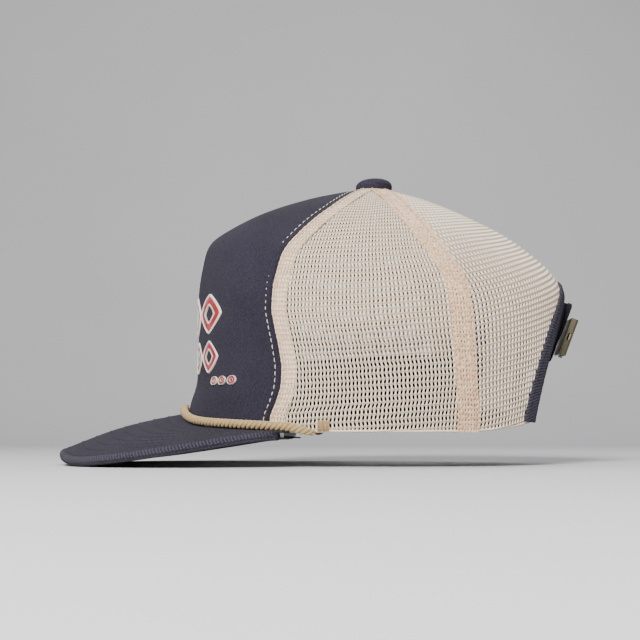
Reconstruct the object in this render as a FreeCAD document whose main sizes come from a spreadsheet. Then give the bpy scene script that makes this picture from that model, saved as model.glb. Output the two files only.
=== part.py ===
"""Trucker cap: two twill front panels, four mesh panels, roped visor, strap with clamp buckle.

Frame: millimetres, +Z up, the cap's front towards -X and the wearer's left towards -Y.
The origin is the centre of the head opening, in the plane of the crown's lower edge.

Every soft layer of the crown is a patch of one crown surface, set off from it along its normal.
A place on that surface is an azimuth, 0 at the front seam and 180 at the rear seam, and a height.
"""
import FreeCAD, Part
import math
import os

import Sketcher

Vec = FreeCAD.Vector
doc = FreeCAD.newDocument("trucker_cap")

# ---------------------------------------------------------------- driving dimensions
DIMENSIONS = [
    # head opening and crown
    ("front_radius", 102.5), ("side_radius", 82.0), ("rear_radius", 99.0), ("crown_height", 136.0),
    ("front_seam_azimuth", 59.0), ("rear_seam_azimuth", 118.0), ("apex_hole", 0.975),
    ("visor_azimuth", 68.0), ("visor_seam", 3.0), ("temple_drop", 1.8), ("joint_bow", 3.4),
    ("joint_ridge", 7.0), ("edge_rise", 5.5),
    # cloth layers, each a distance inward from the crown surface
    ("twill_thick", 0.9), ("buckram_thick", 0.7), ("mesh_thick", 1.0), ("layer_gap", 0.2),
    ("tape_depth", 2.1), ("tape_thick", 0.5), ("tape_width", 11.0),
    ("hem_height", 9.0), ("hem_thick", 0.6), ("hem_gap", 0.5),
    ("sweatband_depth", 2.8), ("sweatband_thick", 1.4), ("sweatband_front_height", 33.0),
    ("sweatband_rear_height", 42.0), ("sweatband_end_azimuth", 143.0),
    # visor
    ("visor_reach", 67.0), ("visor_half_width", 89.0), ("visor_bow", 2.4), ("board_thick", 2.2), ("visor_cloth_thick", 0.8),
    ("edge_width", 2.6), ("edge_thick", 4.4),
    # rope
    ("rope_diameter", 4.2), ("rope_azimuth", 74.0), ("tack_width", 5.0), ("tack_thick", 0.8),
    # button
    ("button_radius", 10.1), ("button_rise", 6.6), ("button_skin", 0.7), ("rivet_radius", 1.6),
    ("washer_radius", 6.0), ("washer_thick", 1.0),
    # rear opening and its binding
    ("arch_half_width", 44.0), ("arch_rise", 76.0), ("binding_width", 7.6), ("binding_lift", 1.2),
    # closing strap
    ("strap_depth", 3.1), ("strap_thick", 1.2), ("strap_low_half", 40.0), ("strap_top_half", 22.0),
    ("strap_low_z", 38.5), ("strap_top_z", 71.5), ("strap_low_bulge", -3.0), ("strap_top_bulge", 9.0),
    # buckle
    ("buckle_length", 20.0), ("buckle_height", 21.0), ("buckle_plate", 1.0), ("buckle_lean", 21.0),
    ("buckle_x", 106.9), ("buckle_z", 53.0), ("knuckle_radius", 1.3), ("knuckle_length", 8.5),
    ("middle_knuckle", 3.4), ("pin_radius", 0.7), ("pin_clearance", 0.06), ("lever_thick", 1.0),
    ("lever_width", 15.4), ("lever_lip", 1.1), ("neck_width", 3.4), ("corner_radius", 2.0),
    # motif
    ("motif_gap", 0.3), ("motif_lift", 0.9),
    # label
    ("label_width", 22.0), ("label_height", 48.0), ("label_thick", 0.5),
]

sheet = doc.addObject("Spreadsheet::Sheet", "dims")
for row, (alias, value) in enumerate(DIMENSIONS, start=1):
    sheet.set("A%d" % row, alias)
    sheet.set("B%d" % row, str(value))
    sheet.setAlias("B%d" % row, alias)
doc.recompute()


def dim(alias):
    """The value of one driving dimension, read from the sheet."""
    return float(sheet.get(alias))


parts = []


def keep(obj, label):
    """Registers a sub-part under its label."""
    obj.Label = label
    parts.append(obj)
    return obj


def feature(label, shape):
    """A sub-part whose shape is worked out here from the sheet."""
    obj = doc.addObject("Part::Feature", label)
    obj.Shape = shape
    obj.Placement = FreeCAD.Placement()
    return keep(obj, label)


# ---------------------------------------------------------------- crown surface
HEIGHT = dim("crown_height")
FRONT_PROFILE = [
    (dim("front_radius"), 0.0), (100.8, 15.0), (96.6, 29.0), (96.1, 52.0), (96.2, 76.0), (94.2, 93.0),
    (90.6, 103.8), (81.2, 111.5), (63.0, 121.0), (38.0, 129.3), (14.0, HEIGHT - 1.5), (0.0, HEIGHT),
]
SIDE_PROFILE = [
    (dim("side_radius"), 0.0), (83.0, 22.0), (82.5, 45.0), (79.5, 68.0), (72.0, 90.0),
    (59.5, 108.0), (42.0, 122.0), (22.0, 131.5), (8.0, HEIGHT - 0.7), (0.0, HEIGHT),
]
REAR_PROFILE = [
    (dim("rear_radius"), 0.0), (102.5, 22.0), (105.5, 45.0), (107.0, 66.0), (105.5, 79.0),
    (99.0, 89.5), (88.0, 98.5), (69.0, 111.5), (42.0, 124.5), (19.0, 133.0), (0.0, HEIGHT),
]


def catmull_rom(points, steps=12):
    """Points of a smooth curve through the given ones, of any number of coordinates."""
    size = len(points[0])
    ends = [[2 * points[0][k] - points[1][k] for k in range(size)],
            [2 * points[-1][k] - points[-2][k] for k in range(size)]]
    knots = [ends[0]] + [list(p) for p in points] + [ends[1]]
    curve = []
    for i in range(1, len(knots) - 2):
        before, start, end, after = knots[i - 1:i + 3]
        for j in range(steps):
            f = j / steps
            curve.append([0.5 * (2 * b + (c - a) * f + (2 * a - 5 * b + 4 * c - d) * f ** 2
                                 + (3 * b - a - 3 * c + d) * f ** 3)
                          for a, b, c, d in zip(before, start, end, after)])
    curve.append(list(points[-1]))
    return curve


class Track:
    """A smooth curve that is read at a fraction of its length."""

    def __init__(self, points):
        self.points = catmull_rom(points)
        self.reached = [0.0]
        for a, b in zip(self.points, self.points[1:]):
            self.reached.append(self.reached[-1] + math.dist(a, b))

    def at(self, fraction):
        goal = min(max(fraction, 0.0), 1.0) * self.reached[-1]
        i = 1
        while i < len(self.reached) - 1 and self.reached[i] < goal:
            i += 1
        span = self.reached[i] - self.reached[i - 1]
        f = (goal - self.reached[i - 1]) / span
        return [a + (b - a) * f for a, b in zip(self.points[i - 1], self.points[i])]


front_track = Track(FRONT_PROFILE)
side_track = Track(SIDE_PROFILE)
rear_track = Track(REAR_PROFILE)


def crown_point(azimuth, climb):
    """A point of the crown surface; climb runs from 0 at the lower edge to 1 at the top."""
    angle = math.radians(azimuth)
    along, across = math.cos(angle), math.sin(angle)
    end_radius, end_z = (front_track if along >= 0 else rear_track).at(climb)
    side_radius, side_z = side_track.at(climb)
    z = end_z * along ** 2 + side_z * across ** 2
    return Vec(-end_radius * along, -side_radius * across, z)


def crown_layer(azimuth, climb, inward):
    """The same point set off inward along the surface's normal."""
    step = 0.004
    around = crown_point(azimuth + 0.5, climb) - crown_point(azimuth - 0.5, climb)
    up = crown_point(azimuth, min(climb + step, 0.999)) - crown_point(azimuth, max(climb - step, 0.0))
    inside = around.cross(up)
    inside.normalize()
    if inside.dot(Vec(0, 0, HEIGHT / 3) - crown_point(azimuth, climb)) < 0:
        inside = -inside
    return crown_point(azimuth, climb) + inside * inward


def climb_at(azimuth, z):
    """How far up the surface the height z lies, at one azimuth."""
    low, high = 0.0, 0.8
    for _ in range(30):
        middle = (low + high) / 2
        if crown_point(azimuth, middle).z < z:
            low = middle
        else:
            high = middle
    return (low + high) / 2


RIDGE_SPREAD = 18.0  # degrees
RISE_START, RISE_SPAN = 112.0, 35.0  # degrees


def visor_line(azimuth):
    """Height at which the visor meets the crown: a ridge in front on a low bow."""
    share = min(abs(azimuth) / dim("visor_azimuth"), 1.0)
    return (dim("joint_bow") * math.cos(share * math.pi / 2) - dim("temple_drop")
            + dim("joint_ridge") * math.exp(-(azimuth / RIDGE_SPREAD) ** 2))


def lower_edge(azimuth):
    """Height of the crown's lower edge, which rises over the visor and towards the rear opening."""
    rise = dim("edge_rise") * (max(abs(azimuth) - RISE_START, 0.0) / RISE_SPAN) ** 2
    return max(visor_line(azimuth) - dim("visor_seam"), rise)


# how far the seams swing round the crown on their way up, in degrees: climb, front seam, rear side seam
SWAY = [(0.0, 0.0, 0.6), (0.045, 0.3, 0.3), (0.081, 1.8, -0.1), (0.119, 2.4, -0.8), (0.183, 2.3, -1.6),
        (0.242, 1.0, -2.4), (0.275, 0.0, -2.9), (0.33, -1.4, -3.4), (0.405, -1.1, -4.0),
        (0.443, -0.3, -4.6), (0.495, 0.6, -5.8), (0.545, 2.0, -7.2), (0.595, 3.5, -8.6),
        (0.652, 5.4, -10.2), (0.719, 8.0, -11.4), (0.8, 10.0, -12.2), (1.0, 10.5, -12.5)]


def sway_at(climb, column):
    """One seam's swing at a climb, between the rows of the list above."""
    for low, high in zip(SWAY, SWAY[1:]):
        if climb <= high[0]:
            break
    share = (climb - low[0]) / (high[0] - low[0])
    return low[column] + (high[column] - low[column]) * share


def bend(azimuth, climb):
    """Azimuth of a place on a panel, after the sway of the seams beside it."""
    front_seam, rear_seam = dim("front_seam_azimuth"), dim("rear_seam_azimuth")
    size = abs(azimuth)
    front, rear = sway_at(climb, 1), sway_at(climb, 2)
    if size <= front_seam:
        swing = front * size / front_seam
    elif size <= rear_seam:
        swing = front + (rear - front) * (size - front_seam) / (rear_seam - front_seam)
    else:
        swing = rear * (180.0 - size) / (180.0 - rear_seam)
    return azimuth + math.copysign(swing, azimuth)


# ---------------------------------------------------------------- solids from point grids
def skin(grid):
    surface = Part.BSplineSurface()
    surface.interpolate(grid)
    return surface


def slab(outer_grid, inner_grid):
    """The closed solid between two surfaces that go through grids of points."""
    outer, inner = skin(outer_grid), skin(inner_grid)
    faces = [outer.toShape(), inner.toShape()]
    u_low, u_high, v_low, v_high = outer.bounds()
    iu_low, iu_high, iv_low, iv_high = inner.bounds()
    pairs = [(outer.uIso(u_low), inner.uIso(iu_low)), (outer.uIso(u_high), inner.uIso(iu_high)),
             (outer.vIso(v_low), inner.vIso(iv_low)), (outer.vIso(v_high), inner.vIso(iv_high))]
    for one, other in pairs:
        faces.append(Part.makeRuledSurface(one.toShape(), other.toShape()))
    hull = Part.makeCompound(faces)
    hull.sewShape(0.01)
    solid = Part.makeSolid(hull.Shells[0] if hull.Shells else hull)
    if solid.Volume < 0:
        solid.reverse()
    return solid


def spread(low, high, count):
    return [low + (high - low) * i / (count - 1) for i in range(count)]


def crown_patch(azimuths, low_z, high, depth, thick, rows=14):
    """A layer of the crown between azimuths, from height low_z(azimuth) up to climb high(azimuth)."""
    grids = []
    for inward in (depth, depth + thick):
        grid = []
        for azimuth in azimuths:
            start = climb_at(azimuth, low_z(azimuth))
            grid.append([crown_layer(bend(azimuth, climb), climb, inward)
                         for climb in spread(start, high(azimuth), rows)])
        grids.append(grid)
    return slab(grids[0], grids[1])


def to_apex(azimuth):
    """The panels' upper limit: they stop short of the top, where their seams would meet."""
    return dim("apex_hole")


def prism(outline, start_x, length):
    """A solid swept along X from a closed outline in the YZ plane."""
    return Part.Face(outline).extrude(Vec(length, 0, 0)).translated(Vec(start_x, 0, 0))


def arch_outline(half_width, rise, foot):
    """The closed outline of an arch in the YZ plane, with legs that go down by foot."""
    count = 24
    points = []
    for i in range(count + 1):
        turn = math.pi * i / count
        points.append(Vec(0, -half_width * math.cos(turn), rise * math.sin(turn)))
    curve = Part.BSplineCurve()
    curve.interpolate(points)
    left, right = points[0], points[-1]
    drop = Vec(0, 0, -foot)
    edges = [curve.toShape(), Part.makeLine(right, right + drop),
             Part.makeLine(right + drop, left + drop), Part.makeLine(left + drop, left)]
    return Part.Wire(edges)


def arch_block(half_width, rise):
    """The rear opening's outline swept through the back of the crown."""
    return prism(arch_outline(half_width, rise, 5.0), 60.0, 60.0)


SEAM_GAP = 0.12  # degrees between a panel's edge and its seam
FRONT_SEAM = dim("front_seam_azimuth")
REAR_SEAM = dim("rear_seam_azimuth")
SIDES = (("left", 1), ("right", -1))
panel_cut = arch_block(dim("arch_half_width") + dim("binding_width") + dim("layer_gap"),
                       dim("arch_rise") + dim("binding_width") + dim("layer_gap"))


def panel_azimuths(start, end, side, count=13):
    return [side * a for a in spread(start + SEAM_GAP, end - SEAM_GAP, count)]


# ---------------------------------------------------------------- crown panels
BUCKRAM_SHORT = 0.02
for name, side in SIDES:
    front = panel_azimuths(0, FRONT_SEAM, side)
    feature("front_panel_" + name,
            crown_patch(front, lower_edge, to_apex, 0, dim("twill_thick"), rows=26))
    feature("front_buckram_" + name,
            crown_patch(front, lower_edge, lambda a: dim("apex_hole") - BUCKRAM_SHORT,
                        dim("twill_thick") + dim("layer_gap"), dim("buckram_thick"), rows=26))
    middle = panel_azimuths(FRONT_SEAM, REAR_SEAM, side)
    feature("side_mesh_" + name, crown_patch(middle, lower_edge, to_apex, 0, dim("mesh_thick"), rows=26))
    back = panel_azimuths(REAR_SEAM, 180, side)
    whole = crown_patch(back, lower_edge, to_apex, 0, dim("mesh_thick"), rows=26)
    feature("rear_mesh_" + name, whole.cut(panel_cut))


# ---------------------------------------------------------------- seam tapes, hem, sweatband
def tape(label, seam, low_z, high=0.93):
    """A tape along a seam inside the crown, as wide at every height."""
    half = dim("tape_width") / 2
    rows = 20
    grids = []
    for inward in (dim("tape_depth"), dim("tape_depth") + dim("tape_thick")):
        columns = [[], [], []]
        start = climb_at(seam, low_z)
        for climb in spread(start, high, rows):
            centre = bend(seam, climb)
            around = crown_point(centre + 1, climb) - crown_point(centre - 1, climb)
            swing = 2 * half / around.Length
            for column, share in zip(columns, (-1, 0, 1)):
                column.append(crown_layer(centre + share * swing, climb, inward))
        grids.append(columns)
    feature(label, slab(grids[0], grids[1]))


BAND_TOP_FRONT = dim("sweatband_front_height")
tape("seam_tape_front", 0, BAND_TOP_FRONT + 1)
tape("seam_tape_rear", 180, dim("arch_rise") + dim("binding_width") + 1.5)
for name, side in SIDES:
    tape("seam_tape_front_side_" + name, side * FRONT_SEAM, BAND_TOP_FRONT + 4)
    tape("seam_tape_rear_side_" + name, side * REAR_SEAM, dim("sweatband_rear_height") + 1)
    hem_span = panel_azimuths(FRONT_SEAM, dim("sweatband_end_azimuth") - 1.0, side, 17)
    hem = crown_patch(hem_span, lower_edge, lambda a: climb_at(a, lower_edge(a) + dim("hem_height")),
                      dim("mesh_thick") + dim("hem_gap"), dim("hem_thick"), rows=5)
    feature("mesh_hem_" + name, hem)


def band_top(azimuth):
    share = math.sin(math.radians(azimuth) / 2) ** 2
    return BAND_TOP_FRONT + (dim("sweatband_rear_height") - BAND_TOP_FRONT) * share


BAND_RISE = 0.8
band_reach = dim("sweatband_end_azimuth")
band = crown_patch(spread(-band_reach, band_reach, 37), lambda a: lower_edge(a) + BAND_RISE,
                   lambda a: climb_at(a, band_top(a)), dim("sweatband_depth"),
                   dim("sweatband_thick"), rows=6)
feature("sweatband", band)

LABEL_AZIMUTH = REAR_SEAM + 10.0
LABEL_LOW = 11.5
label_swing = math.degrees(dim("label_width") / 2 / dim("rear_radius"))
label_span = spread(LABEL_AZIMUTH - label_swing, LABEL_AZIMUTH + label_swing, 5)
feature("woven_label", crown_patch(label_span, lambda a: LABEL_LOW,
                                   lambda a: climb_at(a, LABEL_LOW + dim("label_height")),
                                   dim("tape_depth"), dim("label_thick"), rows=10))

# ---------------------------------------------------------------- binding of the rear opening
def rear_layer(y, z, inward):
    """The crown layer's point at a width and height behind the head."""
    azimuth = 180.0
    for _ in range(6):
        radius = side_track.at(climb_at(azimuth, z))[0]
        azimuth = 180.0 - math.degrees(math.asin(max(min(y / radius, 1.0), -1.0)))
    point = crown_layer(azimuth, climb_at(azimuth, z), inward)
    return Vec(point.x, y, point.z)


def arch_layer(turn, out, inward):
    """A place on the binding: turn runs from 0 to 180 degrees round the arch."""
    width = dim("arch_half_width") + dim("binding_width") * out
    rise = dim("arch_rise") + dim("binding_width") * out
    angle = math.radians(turn)
    return rear_layer(-width * math.cos(angle), rise * math.sin(angle), inward)


FOOT_TURN = 3.8  # degrees of the arch left out at each leg, where the crown's edge has risen
binding_grids = [[[arch_layer(turn, out, inward) for out in spread(0, 1, 4)]
                  for turn in spread(FOOT_TURN, 180 - FOOT_TURN, 33)]
                 for inward in (-dim("binding_lift"), dim("binding_lift") + dim("mesh_thick"))]
feature("arch_binding", slab(binding_grids[0], binding_grids[1]))


# ---------------------------------------------------------------- visor
NOSE_X = -dim("front_radius") - dim("visor_reach")
WIDE = dim("visor_half_width")
TIP_Z = -11.0
LEFT_OUTLINE = [(-43.0, -78.5, -1.5), (-60.0, -0.96 * WIDE, -2.8), (-92.0, -WIDE, -7.8),
                (-124.0, -0.93 * WIDE, -12.4), (-149.5, -0.71 * WIDE, -14.7), (-163.0, -0.39 * WIDE, -13.4)]
OUTLINE = (LEFT_OUTLINE + [(NOSE_X, 0.0, TIP_Z)]
           + [(x, -y, z) for x, y, z in reversed(LEFT_OUTLINE)])
outline_track = Track(OUTLINE)
VISOR_END = 0.97
BOARD_SHORT = 0.025
VISOR_GAP = 1.0


def visor_rim(share):
    """Where the visor starts, at the crown; share runs from -1, wearer's right, to 1, left."""
    azimuth = share * dim("visor_azimuth")
    place = crown_layer(azimuth, climb_at(azimuth, visor_line(azimuth)), -VISOR_GAP)
    return Vec(place.x, place.y, visor_line(azimuth))


def visor_edge(share):
    return Vec(*outline_track.at(0.5 - 0.5 * share))


def visor_point(share, out, beyond=0.0):
    """A point of the visor's middle surface; out runs from 0 at the crown to 1 at the edge."""
    start, end = visor_rim(share), visor_edge(share)
    direction = (end - start).normalize()
    return start + (visor_edge(share) - start) * out + direction * beyond


def visor_layer(share, out, lift, beyond=0.0):
    across = visor_point(min(share + 0.01, 1), out) - visor_point(max(share - 0.01, -1), out)
    outward = visor_edge(share) - visor_rim(share)
    up = across.cross(outward)
    up.normalize()
    if up.z < 0:
        up = -up
    bow = dim("visor_bow") * math.sin(math.pi * out) * (1 - share ** 2)
    return visor_point(share, out, beyond) + up * (lift + bow)


def visor_slab(low, thick, near, far, beyond=(0.0, 0.0), rows=7, end=VISOR_END):
    """A layer of the visor from one end share to the other, at a lift off its middle surface."""
    shares = [end * math.sin(a) / math.sin(1.45) for a in spread(-1.45, 1.45, 35)]
    grids = []
    for lift in (low + thick, low):
        grids.append([[visor_layer(s, near + (far - near) * f, lift,
                                   beyond[0] + (beyond[1] - beyond[0]) * f)
                       for f in spread(0, 1, rows)] for s in shares])
    return slab(grids[0], grids[1])


EDGE_GAP = 0.25
half_board = dim("board_thick") / 2
cloth_low = half_board + dim("layer_gap")
feature("visor_board", visor_slab(-half_board, dim("board_thick"), 0, 1, end=VISOR_END - BOARD_SHORT))
feature("visor_top_fabric", visor_slab(cloth_low, dim("visor_cloth_thick"), 0, 1))
feature("visor_under_fabric",
        visor_slab(-cloth_low - dim("visor_cloth_thick"), dim("visor_cloth_thick"), 0, 1, rows=9))
feature("visor_edge_binding", visor_slab(-dim("edge_thick") / 2, dim("edge_thick"), 1, 1,
                                         (EDGE_GAP, EDGE_GAP + dim("edge_width")), rows=4))


# ---------------------------------------------------------------- rope along the visor joint
ROPE_RADIUS = dim("rope_diameter") / 2
ROPE_GAP = 0.6
ROPE_CORNERS = 27
ROPE_LIFT, ROPE_FALL = 4.5, 3.2  # above the joint at the front, and how much of it is lost at the ends
FALL_START = 0.9
ROPE_SPREAD = 0.6


def rope_centre(azimuth):
    """The rope rests on the visor against the crown and comes down beside it at the temples."""
    share = abs(azimuth) / dim("rope_azimuth")
    fall = min(max((share - FALL_START) / (1 - FALL_START), 0.0), 1.0)
    climb = climb_at(azimuth, visor_line(azimuth) + ROPE_LIFT - ROPE_FALL * fall)
    return crown_layer(azimuth, climb, -(ROPE_RADIUS + ROPE_GAP + ROPE_SPREAD * fall))


def rounded_route(corners):
    """Straight runs joined by tangent arcs, each as large as its two runs allow."""
    edges = []
    here = corners[0]
    radii = []
    for before, corner, after in zip(corners, corners[1:], corners[2:]):
        into = (corner - before).normalize()
        away = (after - corner).normalize()
        half_turn = into.getAngle(away) / 2
        setback = 0.45 * min(before.distanceToPoint(corner), corner.distanceToPoint(after))
        radii.append(setback / math.tan(half_turn))
        start, end = corner - into * setback, corner + away * setback
        bulge = (start + end) * 0.5 - corner
        middle = corner + bulge.normalize() * radii[-1] * (1 / math.cos(half_turn) - 1)
        edges.append(Part.makeLine(here, start))
        edges.append(Part.Arc(start, middle, end).toShape())
        here = end
    edges.append(Part.makeLine(here, corners[-1]))
    return Part.Wire(edges), radii


rope_corners = [rope_centre(a) for a in spread(-dim("rope_azimuth"), dim("rope_azimuth"), ROPE_CORNERS)]
rope_route, rope_radii = rounded_route(rope_corners)
rope_start = rope_corners[0]
rope_heading = rope_corners[1] - rope_corners[0]
rope_section = Part.Wire(Part.makeCircle(ROPE_RADIUS, rope_start, rope_heading))
rope_solid = rope_route.makePipeShell([rope_section], True, False)
feature("rope", rope_solid)
print("rope arc radii, mm:", [round(r, 1) for r in rope_radii])
print("rope volume %.1f of %.1f" % (rope_solid.Volume,
                                    math.pi * ROPE_RADIUS ** 2 * rope_route.Length))

TACK_BEYOND = 1.9  # degrees past the rope's end
TACK_LOW, TACK_TOP, TACK_GAP = 0.2, 6.5, 0.3
for name, side in SIDES:
    tack_azimuth = side * (dim("rope_azimuth") + TACK_BEYOND)
    tack_swing = math.degrees(dim("tack_width") / 2 / dim("side_radius"))
    tack_span = spread(tack_azimuth - tack_swing, tack_azimuth + tack_swing, 4)
    tack = crown_patch(tack_span, lambda a: TACK_LOW, lambda a: climb_at(a, TACK_TOP),
                       -TACK_GAP - dim("tack_thick"), dim("tack_thick"), rows=4)
    feature("rope_tack_" + name, tack)


# ---------------------------------------------------------------- top button
APEX = Vec(2.0, 0, HEIGHT)
BUTTON_TILT = FreeCAD.Rotation(Vec(0, 1, 0), -2.0)
COVER_LIFT = 0.05
RIVET_BELOW, RIVET_LENGTH, WASHER_BELOW = 3.6, 8.4, 3.4


def dome(label, radius_text, rise_text, skin_text):
    """A hollow dome, open below, turned from an arc: radius, rise and wall come from the sheet."""
    outer = doc.addObject("Part::Sphere", label + "_outer")
    inner = doc.addObject("Part::Sphere", label + "_inner")
    ball = "((%s)^2 + (%s)^2) / (2 * (%s))" % (radius_text, rise_text, rise_text)
    outer.setExpression("Radius", ball)
    inner.setExpression("Radius", "%s - (%s)" % (ball, skin_text))
    floor = doc.addObject("Part::Box", label + "_floor")
    for side_name in ("Length", "Width"):
        floor.setExpression(side_name, "8 * dims.button_radius")
    floor.setExpression("Height", "4 * dims.button_radius")
    centre_drop = "-(%s - (%s))" % (ball, rise_text)
    for sphere in (outer, inner):
        sphere.setExpression("Placement.Base.z", centre_drop)
    floor.setExpression("Placement.Base.x", "-4 * dims.button_radius")
    floor.setExpression("Placement.Base.y", "-4 * dims.button_radius")
    floor.setExpression("Placement.Base.z", "-4 * dims.button_radius")
    cap_solid = doc.addObject("Part::Cut", label + "_cap")
    cap_solid.Base, cap_solid.Tool = outer, floor
    shell = doc.addObject("Part::Cut", label)
    shell.Base, shell.Tool = cap_solid, inner
    shell.Placement = FreeCAD.Placement(APEX + Vec(0, 0, COVER_LIFT), BUTTON_TILT)
    return keep(shell, label)


COVER = ("dims.button_radius", "dims.button_rise", "dims.button_skin")
dome("button_cover", *COVER)
inset = " - dims.button_skin - 0.1"
dome("button_shell", COVER[0] + inset, COVER[1] + inset, COVER[2])

rivet = doc.addObject("Part::Cylinder", "button_rivet")
rivet.setExpression("Radius", "dims.rivet_radius")
rivet.Height = RIVET_LENGTH
rivet.Placement = FreeCAD.Placement(APEX + BUTTON_TILT.multVec(Vec(0, 0, -RIVET_BELOW)), BUTTON_TILT)
keep(rivet, "button_rivet")

washer_disc = doc.addObject("Part::Cylinder", "washer_disc")
washer_disc.setExpression("Radius", "dims.washer_radius")
washer_disc.setExpression("Height", "dims.washer_thick")
washer_bore = doc.addObject("Part::Cylinder", "washer_bore")
washer_bore.setExpression("Radius", "dims.rivet_radius + 0.05")
washer_bore.setExpression("Height", "dims.washer_thick")
washer = doc.addObject("Part::Cut", "button_washer")
washer.Base, washer.Tool = washer_disc, washer_bore
washer.Placement = FreeCAD.Placement(APEX + BUTTON_TILT.multVec(Vec(0, 0, -WASHER_BELOW)), BUTTON_TILT)
keep(washer, "button_washer")


# ---------------------------------------------------------------- closing strap
FREE_SPAN = 0.8  # share of the strap that stands clear of the crown
LOW_SAG, TOP_FLARE = 5.0, 3.0
LEFT_TAB_END, TONGUE_END = 0.3, -0.42


def strap_point(across, up, inward):
    """A point of the strap: across runs from -1, wearer's left, to 1, and up from 0 to 1."""
    half = dim("strap_low_half") + (dim("strap_top_half") - dim("strap_low_half")) * up
    low = dim("strap_low_z") - LOW_SAG * across ** 2
    high = dim("strap_top_z") + TOP_FLARE * across ** 2
    bulge = dim("strap_low_bulge") + (dim("strap_top_bulge") - dim("strap_low_bulge")) * up
    if abs(across) < FREE_SPAN:
        bulge *= math.cos(math.pi / 2 * across / FREE_SPAN) ** 2
    else:
        bulge = 0.0
    return rear_layer(half * across, low + (high - low) * up, inward) + Vec(bulge, 0, 0)


def strap(label, start, end, depth):
    """A band from one leg of the opening, out over the gap behind the head."""
    grids = [[[strap_point(across, up, inward) for up in spread(0, 1, 7)]
              for across in spread(start, end, 17)] for inward in (depth, depth + dim("strap_thick"))]
    feature(label, slab(grids[0], grids[1]))


strap("strap_left_tab", -1.0, LEFT_TAB_END, dim("strap_depth"))
strap("strap_right_tongue", TONGUE_END, 1.0, dim("strap_depth") + dim("strap_thick") + dim("layer_gap"))

# ---------------------------------------------------------------- clamp buckle
# its own axes: X out of the strap, Y along the strap and Z up the strap's face
BUCKLE_PLACE = FreeCAD.Placement(Vec(dim("buckle_x"), 0, dim("buckle_z")),
                                 FreeCAD.Rotation(Vec(0, 1, 0), dim("buckle_lean")))
PIN_OUT = "dims.buckle_plate + 1.25 * dims.knuckle_radius"
PIN_ALONG = "-dims.buckle_length / 2 + dims.knuckle_radius"
LEVER_LOW_FACE = PIN_OUT + " - 0.1"


def body_plane(body, role):
    return next(f for f in body.Origin.OriginFeatures if f.Role == role)


def new_sketch(body, role, name, raised="0"):
    """A sketch on one of the body's planes, raised along the plane's normal."""
    sketch = body.newObject("Sketcher::SketchObject", name)
    sketch.AttachmentSupport = [(body_plane(body, role), "")]
    sketch.MapMode = "FlatFace"
    sketch.setExpression("AttachmentOffset.Base.z", raised)
    return sketch


def bind(sketch, constraint, text, name):
    """Adds a driving constraint that takes its value from the sheet."""
    index = sketch.addConstraint(constraint)
    sketch.renameConstraint(index, name)
    sketch.setExpression("Constraints." + name, text)


def rectangle(sketch, left, low, width, height):
    """A rectangle whose left edge, low edge, width and height are expressions."""
    corners = [Vec(-30, -30, 0), Vec(30, -30, 0), Vec(30, 30, 0), Vec(-30, 30, 0)]
    for i in range(4):
        sketch.addGeometry(Part.LineSegment(corners[i], corners[(i + 1) % 4]))
    for i in range(4):
        sketch.addConstraint(Sketcher.Constraint("Coincident", i, 2, (i + 1) % 4, 1))
        sketch.addConstraint(Sketcher.Constraint("Horizontal" if i % 2 == 0 else "Vertical", i))
    bind(sketch, Sketcher.Constraint("DistanceX", -1, 1, 0, 1, -30), left, "left")
    bind(sketch, Sketcher.Constraint("DistanceY", -1, 1, 0, 1, -30), low, "low")
    bind(sketch, Sketcher.Constraint("DistanceX", 0, 1, 0, 2, 60), width, "width")
    bind(sketch, Sketcher.Constraint("DistanceY", 1, 1, 1, 2, 60), height, "height")


def pin_circle(sketch, radius):
    """A circle round the hinge pin's axis."""
    sketch.addGeometry(Part.Circle(Vec(2, -8, 0), Vec(0, 0, 1), 1))
    bind(sketch, Sketcher.Constraint("DistanceX", -1, 1, 0, 3, 2), PIN_OUT, "out")
    bind(sketch, Sketcher.Constraint("DistanceY", -1, 1, 0, 3, -8), PIN_ALONG, "along")
    bind(sketch, Sketcher.Constraint("Radius", 0, 1), radius, "radius")


def pad(body, sketch, length, midplane=False):
    made = body.newObject("PartDesign::Pad", sketch.Name + "_pad")
    made.Profile = sketch
    made.Midplane = midplane
    made.setExpression("Length", length)


def bore(body, radius):
    """A hole for the pin through the whole body."""
    sketch = new_sketch(body, "XY_Plane", body.Name + "_bore")
    pin_circle(sketch, radius)
    doc.recompute()
    solid_before = body.Shape.Volume
    hole = body.newObject("PartDesign::Pocket", body.Name + "_hole")
    hole.Profile = sketch
    hole.Type = "ThroughAll"
    hole.Midplane = True
    doc.recompute()
    if body.Shape.Volume >= solid_before:
        raise RuntimeError("the bore cut nothing: " + body.Name)


def soften(body, name, radius, wanted):
    """Rounds the edges of a body whose middle and direction, in the body's axes, pass the test."""
    doc.recompute()
    base, names = body.Tip, []
    for i, edge in enumerate(base.Shape.Edges, start=1):
        ends = [vertex.Point for vertex in edge.Vertexes]
        if len(ends) == 2 and wanted((ends[0] + ends[1]) * 0.5, ends[1] - ends[0]):
            names.append("Edge%d" % i)
    fillet = body.newObject("PartDesign::Fillet", name)
    fillet.Base = (base, names)
    fillet.setExpression("Radius", radius)
    doc.recompute()


def free_corner(middle, run):
    """A corner edge through the thickness, at the end away from the hinge."""
    return abs(run.x) > 0.9 * run.Length and middle.y > dim("buckle_length") / 2 - 0.1


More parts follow.
